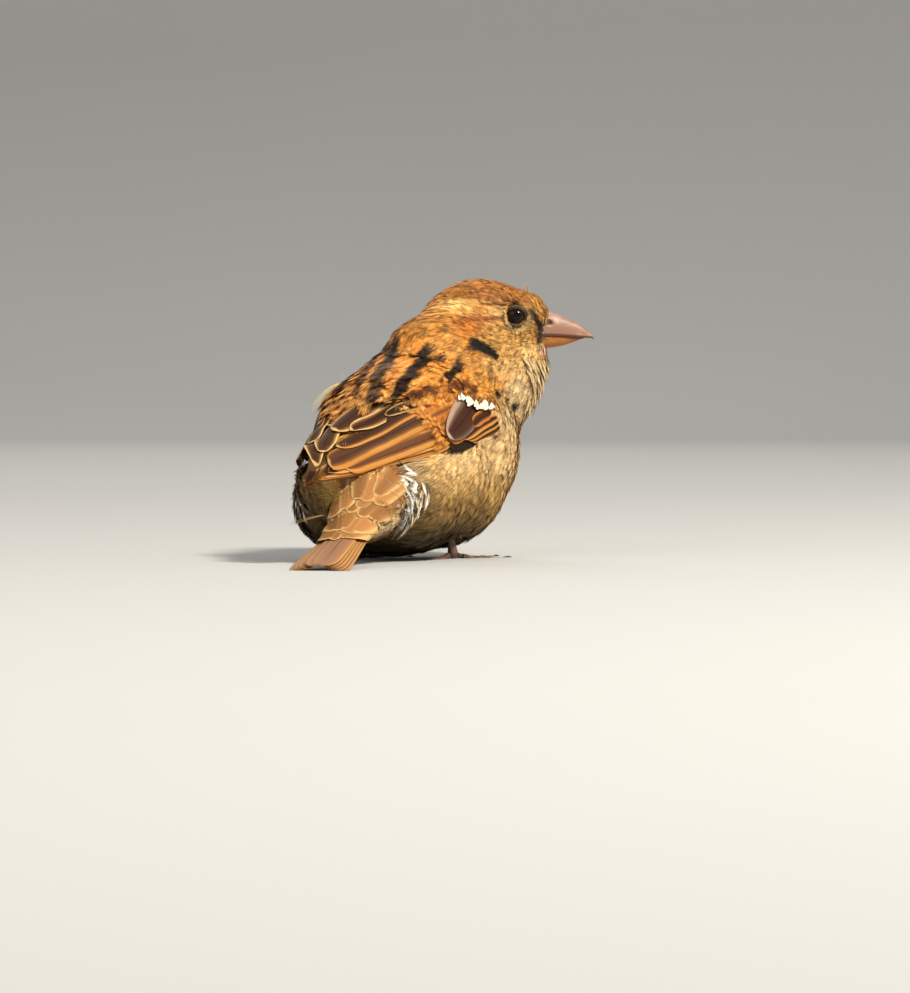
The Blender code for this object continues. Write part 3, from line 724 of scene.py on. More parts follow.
def bare(points):
    """Places where no small feather grows: the bill, the eyes, and what the wings and tail cover."""
    ahead, side, high = in_head(points).T
    eye = np.hypot(ahead - EYE_PLACE[0], (high - EYE_PLACE[2]) * 1.15) < BARE_EYE
    eye &= np.abs(side) > 4.0
    bill = ahead > BARE_BILL + 0.40 * np.abs(high + 0.8)
    share, angle, away = on_chart(points)
    wing = (np.abs(angle) > np.interp(share, WING_SHARES, WING_TOP)) & (share < WING_FRONT)
    wing &= (np.abs(angle) < np.interp(share, WING_SHARES, WING_FOOT)) & (share > WING_BACK)
    wing |= (share < 0.29) & (points[:, 2] > 27.0)
    wing |= (share < 0.47) & (angle > 8.0) & (angle < 60.0)
    wing &= points[:, 2] > 14.0
    back = (points - TAIL_ROOT) @ TAIL_BACK
    off_tail = np.hypot((points - TAIL_ROOT) @ TAIL_SIDE, points[:, 2] - TAIL_ROOT[2] + 0.28 * back)
    under_coverts = (back > 8.0) & (off_tail < 9.5) & (points[:, 2] > TAIL_ROOT[2] - 0.5 - 0.265 * back)
    return eye | bill | wing | (back > 22.0) | under_coverts


def feathered(places):
    return ~bare(places)


roots = scattered(bed, lambda places: 0.46 + 0.42 * ramp(from_face(places), 7.0, 34.0), feathered)
away = from_face(roots)
share, angle, _ = on_chart(roots)
ahead, side, high = in_head(roots).T
head_part = np.linalg.norm(roots - HEAD_CENTRE, axis=1) < 18.5
back_part = ~head_part & (np.abs(angle) < 62.0) & (share > 0.30)
front_part = ~head_part & ~back_part & (share > 0.66)
rear_part = ~head_part & ~back_part & (share < 0.34)
side_part = ~head_part & ~back_part & ~front_part & ~rear_part

length = 2.7 + 5.3 * ramp(away, 4.0, 40.0) + 0.8 * ramp(away, 50.0, 70.0)
length *= 1.0 + chance.normal(size=len(roots)) * 0.08
length *= 1.0 - 0.25 * ramp(share, 0.58, 0.50) * ramp(angle, 4.0, 12.0) * ramp(angle, 62.0, 54.0)
width = length * (0.20 - 0.01 * ramp(away, 12.0, 40.0))
# in front of the eye the feathers end at the lids
to_lids = np.hypot(ahead - EYE_PLACE[0], high - EYE_PLACE[2]) - 2.1
by_eye = (ahead > EYE_PLACE[0]) & (np.abs(side) > 4.0)
length = np.where(by_eye, np.minimum(length, np.maximum(to_lids, 0.8)), length)
barb = 0.11 + 0.09 * ramp(away, 6.0, 40.0)
over_join = ramp(share, 0.37, 0.405) * ramp(share, 0.64, 0.56) * ramp(np.abs(angle), 54.0, 42.0)
lift = coat_depth(roots) * (0.90 + chance.normal(size=len(roots)) * 0.05)
lift = lift + 0.30 * ramp(ahead, 12.0, 15.0) + 1.45 * over_join

ON_HEAD = {"patchy": 0.34, "shade": 0.60, "roll": 0.45}
ON_BODY = {"patchy": 0.19, "shade": 0.68, "roll": 0.9}
for part_name, part, part_barbs, looks in (
    ("face_feathers", head_part & (away < 15.0), 10, ON_HEAD),
    ("crown_and_nape_feathers", head_part & (away >= 15.0), 13, ON_HEAD),
    ("back_feathers", back_part, 17, ON_BODY),
    ("breast_feathers", front_part, 16, ON_BODY),
    ("flank_feathers", side_part & (angle > 0.0), 16, ON_BODY),
    ("left_flank_feathers", side_part & (angle <= 0.0), 16, ON_BODY),
    ("rump_feathers", rear_part, 15, ON_BODY),
):
    lay_small_feathers(part_name, roots[part], length[part], width[part], part_barbs, barb[part], lift[part],
                       **looks)

# loose down where the flank feathers part over the root of the wing: white barbs, some dark grey or golden
roots = scattered(bed, 0.46, feathered)
share, angle, _ = on_chart(roots)
past_root, off_middle = (roots - TAIL_ROOT) @ TAIL_BACK, np.abs((roots - TAIL_ROOT) @ TAIL_SIDE)
grown = near_down(share, angle) > 0.20 + 0.4 * chance.random(len(roots))
grown &= (off_middle > 7.6) | (past_root < 0.0)
roots, on_left = roots[grown], angle[grown] < 0.0
count = len(roots)
kind = chance.random(count)
grey_share = 0.10 + bands(roots[:, 2] + 0.7 * roots[:, 0], 4.1, 0.8) * 0.36
tones = np.where((kind < grey_share)[:, None], FLUFF_GREY, FLUFF)
tones = np.where((kind > 0.86)[:, None], (0.70, 0.47, 0.18), tones)
lay_small_feathers("flank_down", roots, 4.6 + 3.0 * chance.random(count), 0.50, 7, 0.12,
                   (1.6 + 2.4 * chance.random(count)) * np.where(on_left, 0.55, 1.0), tones=tones, loose=0.60)

# long pointed feathers of the throat, which hang apart in tufts and show dark gaps
roots = scattered(bed, 0.95, feathered)
ahead, side, high = in_head(roots).T
roots = roots[(ahead > 7.5) & (high < -4.6) & (high > -17.0) & (np.abs(side) < 8.5)]
count = len(roots)
_, outward, _ = bed.nearest(roots)
hang = -UP + HEAD_AXES[0] * 0.12 - HEAD_AXES[0] * 0.35 * ramp(roots[:, 2], 46.0, 40.0)[:, None]
hang = unit(hang - outward * (hang * outward).sum(axis=1, keepdims=True))
cream = np.asarray(THROAT) * (0.82 + 0.26 * chance.random((count, 1)))
lay_small_feathers("throat_feathers", roots, 3.6 + 2.4 * chance.random(count), 0.52, 8, 0.15,
                   1.25 + 0.9 * chance.random(count), shade=0.5, ways=hang, tones=cream, pointed=0.85,
                   loose=0.16)

# short dark bristles that point forward over the root of the bill
roots = scattered(bed, 0.42, lambda places: in_head(places)[:, 0] < 15.6)
ahead, side, high = in_head(roots).T
roots = roots[(ahead > 13.2) & (high > -1.5) & (high < 6.2) & (np.abs(side) > 0.6)]
count = len(roots)
lay_small_feathers("bill_bristles", roots, 1.5 + 0.9 * chance.random(count), 0.30, 3, 0.10, 0.75,
                   ways=np.tile(HEAD_AXES[0] - UP * 0.12, (count, 1)),
                   tones=np.tile((0.09, 0.045, 0.02), (count, 1)), pointed=0.5, loose=0.25)

# a few long loose barbs that stand clear of the coat: a tuft on the forehead, a pale plume on the left of
# the back with a thread above it, and a thread beside the root of the tail
TO_LEFT, TO_REAR = np.array((-0.56, 0.83, 0.0)), np.array((-0.83, -0.56, 0.0))
WISP_STEPS = 7
wisps = (
    # root, way, bend, length, spread at the root and at the tip, barbs, half width, colour
    (from_head((10.0, -1.0, 9.6)),
     UP + TO_LEFT * 0.15, TO_LEFT * -0.5, 3.4, 0.45, 0.30, 7, 0.10, (0.56, 0.36, 0.12)),
    (off_chart(*np.array((0.520, -32.0, 21.5))),
     TO_LEFT - UP * 0.12, UP * -4.6, 8.8, 0.7, 0.9, 11, 0.12, (0.70, 0.58, 0.27)),
    (off_chart(*np.array((0.545, -31.0, 21.0))),
     TO_LEFT + UP * 0.10, UP * 2.6, 3.4, 0.05, 0.05, 2, 0.07, (0.74, 0.66, 0.36)),
    (TAIL_ROOT + TAIL_BACK * 7.0 - TAIL_SIDE * 10.4 - UP * 2.4,
     TO_LEFT - UP * 0.18, UP * -0.8, 10.5, 0.10, 0.25, 4, 0.09, (0.74, 0.50, 0.22)),
)
wisp_points, wisp_tones, wisp_places = [], [], []
for root, way, bend, long, at_root, at_tip, barbs, half, tone in wisps:
    way = unit(way)
    across = unit(np.cross(TO_REAR, way))
    for place in np.linspace(-1.0, 1.0, barbs):
        reach = long * (0.75 + 0.25 * chance.random())
        s = np.linspace(0.0, 1.0, WISP_STEPS)[:, None]
        line = root + way * reach * s + bend * s**2 + across * place * (at_root + at_tip * s)
        line = line + TO_REAR * (1.0 + 0.5 * chance.normal()) * s
        wide = half * (1.0 - 0.75 * s)
        wisp_points.append(np.stack((line + across * wide, line - across * wide), axis=1).reshape(-1, 3))
        wisp_tones.append(np.tile(np.asarray(tone) * (0.8 + 0.35 * chance.random()), (2 * WISP_STEPS, 1)))
        flat = np.stack((np.repeat(s[:, 0], 2), np.tile((0.4, 0.6), WISP_STEPS) + place * 0.35), axis=1)
        wisp_places.append(skin_layout(root[None])[0] + (flat - 0.5) * UV_PATCH)
steps = np.arange(WISP_STEPS - 1) * 2
strip = np.stack((steps, steps + 1, steps + 3, steps + 2), axis=1)
wisp_faces = np.concatenate([strip + k * 2 * WISP_STEPS for k in range(len(wisp_points))])
piece = add_piece("stray_feathers", np.concatenate(wisp_points), [wisp_faces], down)
note(piece, "coat", np.concatenate(wisp_tones))
add_layout(piece, np.concatenate(wisp_places))


# ---------------------------------------------------------------- wings
# Each folded wing is a stack of stiff feathers with shafts: flight feathers at the bottom, tertials over
# them, coverts over their roots, and the longest feathers of the back lying over the join. Their roots sit
# in the skin of the arm, which is hidden.

# The feathers are laid on a map of how far the wings stand from the trunk's line. It is measured with rays
# that start well outside, and holds the body's own outline further forward.
MAP_SHARES, MAP_ANGLES = np.linspace(0.03, 0.80, 78), np.linspace(-130.0, 130.0, 131)
MAP_OUTSIDE, MAP_DEFAULT, MAP_BODY = 90.0, 22.0, 0.44


def beside(grid):
    """The sum of the four neighbours of each place on a grid."""
    padded = np.pad(grid, 1, mode="edge")
    return padded[:-2, 1:-1] + padded[2:, 1:-1] + padded[1:-1, :-2] + padded[1:-1, 2:]


def wing_map():
    """How far the wings' outer face is from the trunk's line, filled in smoothly where there is no wing."""
    share, angle = np.meshgrid(MAP_SHARES, MAP_ANGLES, indexing="ij")
    starts = off_chart(share, angle, np.full(share.shape, MAP_OUTSIDE)).reshape(-1, 3)
    ways = unit(off_chart(share, angle, np.full(share.shape, MAP_OUTSIDE - 10.0)).reshape(-1, 3) - starts)
    blades, body = (np.where(hits > 0.0, MAP_OUTSIDE - hits, np.nan).reshape(share.shape)
                    for hits in (Surface(*gathered(WINGS)).reach(starts, ways), hull.reach(starts, ways)))
    away = np.where(np.isnan(blades) & (share > MAP_BODY), body, blades)
    known = ~np.isnan(away)
    filled = np.where(known, away, MAP_DEFAULT)
    for _ in range(400):
        filled = np.where(known, filled, beside(filled) / 4.0)
    for _ in range(5):
        filled = (beside(filled) + filled) / 5.0
    return filled


WING_MAP = wing_map()


def over_wing(share, angle, lift):
    """A place on the folded wings, lifted off their outer face by some millimetres."""
    row = np.clip((share - MAP_SHARES[0]) / (MAP_SHARES[1] - MAP_SHARES[0]), 0.0, len(MAP_SHARES) - 1.001)
    column = np.clip((angle - MAP_ANGLES[0]) / (MAP_ANGLES[1] - MAP_ANGLES[0]), 0.0, len(MAP_ANGLES) - 1.001)
    i, j = row.astype(int), column.astype(int)
    s, t = row - i, column - j
    near = WING_MAP[i, j] * (1 - t) + WING_MAP[i, j + 1] * t
    far = WING_MAP[i + 1, j] * (1 - t) + WING_MAP[i + 1, j + 1] * t
    return off_chart(share, angle, near * (1 - s) + far * s + lift)


def on_curve(stations, t):
    """A smooth curve through three stations: root, middle and tip."""
    a, b, c = (np.asarray(s, float)[:, None] for s in stations)
    return a * (1 - t) * (1 - 2 * t) + b * 4 * t * (1 - t) + c * t * (2 * t - 1)


VANE_ROWS, VANE_COLUMNS = 22, 11


def vane_outline(t, blunt):
    """A vane's half width along the shaft, as a share of its widest."""
    root = np.clip(t / 0.22, 0.0, 1.0) ** 0.6
    past = np.clip((t - (1.0 - blunt)) / blunt, 0.0, 1.0)
    return (0.35 + 0.65 * root) * np.sqrt(np.clip(1.0 - past**2.2, 0.0, 1.0))


def wing_vane(root, middle, tip, upper, lower, blunt, looks, side=1.0):
    """One feather: a grid of points, places along and across it, and its looks. Its stations give share,
    angle and lift. Its widths are in millimetres, the lower one towards the flank. Side is -1 on the left."""
    t = np.linspace(0.0, 1.0, VANE_ROWS) ** 0.85
    t[-1] = 0.999
    v = np.linspace(-1.0, 1.0, VANE_COLUMNS)
    share, angle, lift = on_curve([(at, turn * side, over) for at, turn, over in (root, middle, tip)], t)
    flank = np.sign((root[1] + middle[1] + tip[1]) * side + 1e-6)
    widths = np.where(v < 0.0, upper, lower)[None, :] * vane_outline(t, blunt)[:, None]
    shaft = over_wing(share, angle, lift)
    run = unit(np.gradient(shaft, axis=0))
    out = unit(shaft - (CHART_REAR + share[:, None] * (CHART_FRONT - CHART_REAR)))
    across = unit(np.cross(run, out)) * -flank
    at_share, at_angle, _ = on_chart(shaft[:, None] + across[:, None] * (widths * v)[..., None])
    height = lift[:, None] - 0.175 * (widths * np.abs(v) / 3.0) ** 2
    points = over_wing(at_share.ravel(), at_angle.ravel(), height.ravel())
    return points, np.repeat(t, len(v)), np.tile(v, len(t)), looks


def grid_faces(rows, columns, closed=False):
    """The faces between the points of a grid, whose columns may join round."""
    i, j = np.indices((rows - 1, columns if closed else columns - 1)).reshape(2, -1)
    here, beside = i * columns + j, i * columns + (j + 1) % columns
    return np.stack((here, beside, beside + columns, here + columns), axis=1)


def add_vanes(name, vanes, rows, columns, finish, replaced=(), thick=0.07):
    """Joined feathers with shafts. Each vane is its points, its places along and across, and its looks: the
    dark middle, the rim's colour, the rim's share of each side and of the tip, and the tip's colour."""
    points, along, across = (np.concatenate([vane[part] for vane in vanes]) for part in range(3))
    each = rows * columns
    faces = np.concatenate([grid_faces(rows, columns) + k * each for k in range(len(vanes))])
    piece = add_piece(name, points, [faces], finish, replaced)
    note(piece, "along", along)
    note(piece, "across", across)
    for column, key in enumerate(("middle", "rim", "upper_rim", "lower_rim", "tip_rim", "tip")):
        note(piece, key, np.repeat([np.asarray(vane[3][column], float) for vane in vanes], each, axis=0))
    # each vane has its own square of the layout
    squares = math.ceil(math.sqrt(len(vanes)))
    corner = np.array([(k % squares, k // squares) for k in range(len(vanes))], float)
    local = np.stack((along, across * 0.5 + 0.5), axis=1)
    add_layout(piece, (np.repeat(corner, each, axis=0) + 0.06 + 0.88 * local) / squares)
    thicker = piece.modifiers.new("thickness", "SOLIDIFY")
    thicker.thickness, thicker.offset = thick * 0.001, -1.0


def vane_finish(name, roughness, fibre=0.5, shafts=1.0):
    """A stiff feather: a dark middle, paler rims, a shaft, and fine barbs slanting outwards from it."""
    material, wire = new_finish(name, roughness, Specular_IOR_Level=0.12)
    along, across = wire.reading("along"), wire.reading("across")
    middle, rim, tip = (wire.reading(key, 0) for key in ("middle", "rim", "tip"))
    upper_rim, lower_rim = wire.reading("upper_rim"), wire.reading("lower_rim")
    grain = wire.noise(420.0, 3.0)
    barbs = (along * 26.0 + across.size() * -2.4 + grain * 0.5).wave(0.42)
    slanted = wire.add("CombineXYZ", {}, {0: along * 14.0 + across.size() * -1.3, 1: across})
    streaks = wire.noise(30.0, 2.0, slanted)
    # the rim fades a little way into the middle
    inside = (across * -1.0 + upper_rim).larger(across + lower_rim)
    colour = (inside.step(0.68, 0.98) * 0.30).mix(middle, rim)
    ragged = across + (grain - 0.5) * 0.16
    edge = (ragged * -1.0 + upper_rim).step(0.93, 1.07).larger((ragged + lower_rim).step(0.93, 1.07))
    colour = edge.mix(colour, rim)
    colour = (along + wire.reading("tip_rim") + (grain - 0.5) * 0.03).step(0.985, 1.03).mix(colour, tip)
    fading = (across.size().step(0.1, 1.0) * 0.5).mix(colour, rim)
    colour = (streaks.step(0.35, 0.7) * fibre).mix(colour, fading)
    shaft = across.size().step(0.055, 0.02) * along.step(0.97, 0.8)
    dark = wire.add("Mix", {"data_type": "RGBA", "blend_type": "MULTIPLY"},
                    {0: 1.0, 6: colour, 7: (0.42, 0.36, 0.32, 1.0)}, output=2)
    colour = (shaft * (0.75 * shafts)).mix(colour, dark)
    finish_with(material, colour, barbs * 0.35 + shaft * (1.2 * shafts) + streaks * 0.3, 0.00012, 0.55)
    return material


flight_finish = vane_finish("flight_feather", 0.6, 0.22)
NEAR_BLACK, UMBER, TAUPE = (0.020, 0.010, 0.006), (0.046, 0.016, 0.006), (0.070, 0.026, 0.010)
COVERT, RUFOUS, RUFOUS_PALE = (0.20, 0.068, 0.015), (0.44, 0.15, 0.026), (0.52, 0.22, 0.045)
CREAM, WHITE_TIP = (0.74, 0.45, 0.17), (0.90, 0.82, 0.66)
LOWEST_STRIP = (0.085, 0.030, 0.011)
STRIPS = ((0.50, 0.19, 0.036), (0.16, 0.055, 0.016), (0.62, 0.32, 0.085))

# Feathers are given by root, middle and tip as share, angle and lift, then upper and lower width,
# bluntness and looks. The tertials overlap with the largest on top.
TERTIALS = (
    ((0.53, 70.0, -0.6), (0.345, 64.0, -0.35), (0.228, 54.0, -0.2), 2.4, 2.2, 0.24,
     ((0.12, 0.042, 0.014), RUFOUS_PALE, 0.2, 0.62, 0.03, CREAM)),
    ((0.54, 57.0, -0.5), (0.335, 45.5, -0.1), (0.188, 33.5, 0.05), 3.0, 3.0, 0.24,
     (TAUPE, RUFOUS_PALE, 0.10, 0.48, 0.03, CREAM)),
    ((0.52, 45.0, -0.5), (0.385, 38.0, 0.15), (0.243, 22.0, 0.3), 2.5, 2.3, 0.24,
     (UMBER, RUFOUS_PALE, 0.12, 0.30, 0.03, CREAM)),
)
# a near-black feather as painted shade in the alula's gap, four striped coverts below the large glossy one,
# and the glossy one itself
FRONT_COVERTS = (
    ((0.60, 81.0, -0.7), (0.55, 82.0, -0.2), (0.492, 81.0, -0.2), 1.5, 1.6, 0.4,
     (NEAR_BLACK, NEAR_BLACK, 0.1, 0.1, 0.02, NEAR_BLACK)),
    ((0.69, 85.0, -0.5), (0.64, 85.5, 0.0), (0.60, 85.0, -0.1), 1.2, 1.4, 0.4,
     (NEAR_BLACK, UMBER, 0.2, 0.2, 0.02, UMBER)),
    ((0.69, 82.0, -0.4), (0.64, 82.5, 0.15), (0.575, 83.0, 0.1), 1.3, 1.3, 0.35,
     (UMBER, RUFOUS_PALE, 0.5, 0.4, 0.02, RUFOUS)),
    ((0.69, 78.5, -0.3), (0.635, 79.0, 0.3), (0.560, 81.0, 0.25), 1.3, 1.3, 0.35,
     (NEAR_BLACK, RUFOUS_PALE, 0.6, 0.4, 0.02, RUFOUS_PALE)),
    ((0.69, 75.0, -0.2), (0.63, 75.5, 0.45), (0.545, 79.0, 0.4), 1.3, 1.4, 0.35,
     (UMBER, RUFOUS_PALE, 0.5, 0.5, 0.02, RUFOUS_PALE)),
    ((0.675, 71.0, 0.0), (0.635, 71.0, 0.65), (0.60, 73.5, 0.6), 1.8, 1.5, 0.4,
     (UMBER, RUFOUS, 0.25, 0.5, 0.02, RUFOUS)),
    ((0.655, 60.0, -0.2), (0.575, 66.0, 0.95), (0.492, 73.0, 0.85), 4.9, 4.0, 0.60,
     ((0.050, 0.017, 0.008), (0.36, 0.235, 0.17), 0.34, 0.04, 0.05, (0.50, 0.38, 0.30))),
)

for side, side_name, tuck in ((1.0, "right", 0.0), (-1.0, "left", 1.0)):
    flight, tertial, covert = [], [], []
    # primaries and secondaries: the outer ones lie lowest, each showing a thin strip of its outer vane
    for k in range(13):
        t = k / 12.0
        root = (0.54, 83.0 - 15.5 * t, -1.3 + 0.5 * t)
        middle = (0.335 + 0.03 * t + 0.10 * tuck, 77.0 - 15.5 * t, -1.15 + 0.6 * t)
        tip = (0.112 + 0.008 * k + 0.10 * max(0.0, t - 0.6), 33.0 + 19.0 * t - 10.0 * t * t, -0.8 + 0.5 * t)
        if tuck:
            tip = (0.345 + 0.003 * k, 70.0 - 12.0 * t, -1.1 + 0.5 * t)
        strip = STRIPS[k % 3] if k > 2 else LOWEST_STRIP
        looks = (NEAR_BLACK, strip, 0.10, 0.34 + 0.08 * (k % 2), 0.01, RUFOUS)
        flight.append(wing_vane(root, middle, tip, 2.2, 1.5, 0.12, looks, side))
    # the left tertials are closed a little further
    for root, middle, tip, *rest in TERTIALS:
        middle = (middle[0] + 0.03 * tuck, middle[1] + 4.0 * tuck, middle[2])
        tip = (tip[0] + 0.07 * tuck, tip[1] + 14.0 * tuck, tip[2])
        tertial.append(wing_vane(root, middle, tip, *rest, side))
    # greater coverts: broad rufous fringes over the tertials' roots
    for k in range(9):
        t = k / 8.0
        root = (0.625, 46.0 + 27.0 * t, -1.3 + 0.8 * t)
        middle = (0.545, 45.0 + 29.0 * t, -0.15 + 0.3 * t)
        tip = (0.430 + 0.070 * t + 0.006 * (k % 2), 43.0 + 32.0 * t, 0.05 + 0.12 * (k % 2))
        looks = (COVERT, RUFOUS, 0.70, 0.70, 0.06, (0.62, 0.26, 0.054))
        covert.append(wing_vane(root, middle, tip, 2.1, 2.1, 0.35, looks, side))
    covert += [wing_vane(*row, side) for row in FRONT_COVERTS]
    # the white bar: the ragged tips of a row of small coverts
    for k in range(15):
        t = k / 14.0
        slip = chance.normal(size=3)
        tip = (0.570 + 0.090 * t + 0.004 * slip[0], 54.0 + 14.0 * t + 0.8 * slip[1], 1.25 - 0.10 * (k % 2))
        root, middle = (tip[0] + 0.05, tip[1] - 4.0, 0.0), (tip[0] + 0.022, tip[1] - 2.0, 1.1)
        looks = ((0.16, 0.063, 0.018), (0.40, 0.20, 0.054), 0.2, 0.2, 0.42 + 0.10 * slip[2], WHITE_TIP)
        covert.append(wing_vane(root, middle, tip, 0.75, 0.85, 0.75, looks, side))
    for part, vanes in (("primaries", flight), ("tertials", tertial), ("coverts", covert)):
        add_vanes(f"{side_name}_{part}", vanes, VANE_ROWS, VANE_COLUMNS, flight_finish,
                  (f"wing_{side_name}_{part}",))

# the longest feathers of the back, which cover the join of the two wings
PETAL = (UMBER, CREAM, 0.15, 0.15, 0.055, CREAM)
LONG_BACK = (
    ((0.47, -47.0, -0.9), (0.375, -44.0, 0.0), (0.285, -40.0, -0.1), 2.2, 2.2, 0.3, PETAL),
    ((0.52, -50.0, -0.9), (0.45, -49.0, 0.2), (0.35, -46.0, 0.2), 1.9, 1.9, 0.3, PETAL),
    ((0.51, -28.0, -1.8), (0.45, -33.0, 0.1), (0.375, -39.0, 0.3), 1.8, 1.8, 0.3, PETAL),
    ((0.36, -30.0, -1.1), (0.235, -6.0, -0.1), (0.152, 26.0, 0.0), 2.3, 2.5, 0.4, PETAL),
    ((0.43, -36.0, -0.9), (0.34, -30.0, 0.2), (0.255, -20.0, 0.2), 2.2, 2.2, 0.3, PETAL),
    ((0.41, -14.0, -1.9), (0.285, -2.0, 0.15), (0.198, 17.0, 0.35), 2.5, 2.5, 0.4, PETAL),
    ((0.51, 45.0, -1.7), (0.455, 41.0, 0.2), (0.392, 32.0, 0.5), 1.5, 1.5, 0.3,
     (NEAR_BLACK, CREAM, 0.16, 0.12, 0.03, CREAM)),
    ((0.48, 15.0, -2.4), (0.385, 8.5, 0.0), (0.290, 1.0, 0.8), 3.1, 3.1, 0.34, PETAL),
    ((0.48, 36.0, -2.2), (0.395, 29.5, 0.2), (0.316, 15.5, 0.95), 2.4, 2.4, 0.3, PETAL),
)
add_vanes("long_back_feathers", [wing_vane(*row) for row in LONG_BACK], VANE_ROWS, VANE_COLUMNS,
          flight_finish)

# soft fringes over the greater coverts, finely barbed and rufous
FRINGES = 400
fringe_share, fringe_angle = 0.50 + 0.145 * chance.random(FRINGES), 34.0 + 42.0 * chance.random(FRINGES)
fringe_side = np.where(chance.random(FRINGES) < 0.5, 1.0, -1.0)
near_glossy = np.hypot((fringe_share - 0.60) * CHART_LENGTH, (fringe_angle - 68.0) * CHART_ARC) < 5.6
roots = over_wing(fringe_share, fringe_angle * fringe_side, np.full(FRINGES, -1.0))[~near_glossy]
roots = bed.nearest(roots)[0]
count = len(roots)
tones = np.where((chance.random(count) < 0.22)[:, None], COVERT, (0.72, 0.28, 0.045))
tones = tones * (0.85 + 0.35 * chance.random((count, 1)))
lay_small_feathers("wing_covert_fringes", roots, 6.0 + 1.5 * chance.random(count), 0.80, 14, 0.12,
                   coat_depth(roots) + 0.45, tones=tones, loose=0.05)


# ---------------------------------------------------------------- tail
# Twelve stiff feathers, closed like a fan: the middle pair lies on top and the others step down and out
# beneath it. All are cinnamon brown with dark shafts and buff edges, worn at the tip.
TAIL_RUN = math.sqrt(TAIL_LENGTH**2 - TAIL_DROP**2)
TAIL_ROWS, TAIL_COLUMNS = 34, 9


def over_tail(t, across, lift):
    """A place on the closed tail. Across is in millimetres."""
    half = on_curve([(4.0,), (6.2,), (7.4,)], t)[0]
    arch = 1.3 * (1.0 - np.clip(np.abs(across) / half, 0.0, 1.0) ** 2) * (1.0 - t)
    height = TAIL_ROOT[2] + arch + lift - TAIL_DROP * t
    along = TAIL_ROOT * (1.0, 1.0, 0.0) + TAIL_BACK * (TAIL_RUN * t)[..., None]
    return along + TAIL_SIDE * across[..., None] + UP * np.maximum(height, 0.05)[..., None]


MIDDLE_LOOKS = ((0.27, 0.125, 0.058), (0.50, 0.25, 0.085), 0.14, 0.14, 0.012, (0.26, 0.12, 0.045))
OUTER_LOOKS = ((0.20, 0.085, 0.032), (0.46, 0.23, 0.070), 0.20, 0.20, 0.01, (0.14, 0.06, 0.022))
vanes = []
for k in range(6):
    for side in (1.0, -1.0):
        t = np.linspace(-0.04, 0.985 - 0.012 * (5 - k) if k else 0.965, TAIL_ROWS)
        v = np.linspace(-1.0, 1.0, TAIL_COLUMNS)
        share = (t - t[0]) / (t[-1] - t[0])
        centre = side * ((0.35 + 1.05 * k) * (0.35 + 0.65 * np.clip(t, 0.0, 1.0)) + (0.0 if k else 0.5))
        half = (2.8125 - 0.1225 * k + (0.0 if k else 0.6)) * (0.55 + 0.45 * np.clip(t * 1.3, 0.0, 1.0))
        spread = half * np.sqrt(1.0 - 0.80 * np.clip((share - 0.90) / 0.10, 0.0, 1.0) ** 2.5)
        rounded = t[:, None] - 0.012 * np.abs(v) * (share[:, None] > 0.9)
        lift = 0.85 - 0.22 * k + 0.06 * side - 0.12 * np.abs(v) ** 2
        points = over_tail(rounded, centre[:, None] + spread[:, None] * v, lift)
        looks = OUTER_LOOKS if k else MIDDLE_LOOKS
        vanes.append((points.reshape(-1, 3), np.repeat(share, TAIL_COLUMNS), np.tile(v, TAIL_ROWS), looks))
add_vanes("tail", vanes, TAIL_ROWS, TAIL_COLUMNS, vane_finish("tail_feather", 0.5),
          ("tail_feathers",))

# The tail's root and the rump are covered by broad soft feathers, row over row. They are laid on a chart of
# their own: millimetres past the tail's root, and an angle round the rump's line from straight up.
RUMP_PLACES = (-4.0, 4.0, 10.0, 13.5, 18.5, 24.0, 29.0, 36.0)
RUMP_WIDE = (12.0, 10.5, 9.2, 8.4, 7.5, 6.9, 6.4, 6.0)
RUMP_HIGH = (13.0, 12.0, 9.6, 6.5, 4.7, 3.2, 2.0, 1.6)
OVER_SKIN = 0.30


def over_rump(past, turn, lift):
    """A place over the rump or the tail's root, and how far it is from the line."""
    centre = TAIL_ROOT + TAIL_BACK * past[..., None] - UP * (past * TAIL_DROP / TAIL_RUN)[..., None]
    up, side = np.cos(np.radians(turn)), np.sin(np.radians(turn))
    away = 1.0 / np.sqrt((side / np.interp(past, RUMP_PLACES, RUMP_WIDE)) ** 2
                         + (up / np.interp(past, RUMP_PLACES, RUMP_HIGH)) ** 2)
    points = centre + (UP * up[..., None] + TAIL_SIDE * side[..., None]) * (away + lift)[..., None]
    on_skin, normals, _ = skin.nearest(points)
    over = ((points - on_skin) * normals).sum(axis=-1)
    close = (np.linalg.norm(points - on_skin, axis=-1) < 9.0) * ramp(past, 23.5, 21.0)
    short = close * np.maximum(OVER_SKIN + np.maximum(lift, 0.0) - over, 0.0)
    return points + normals * short[..., None], away


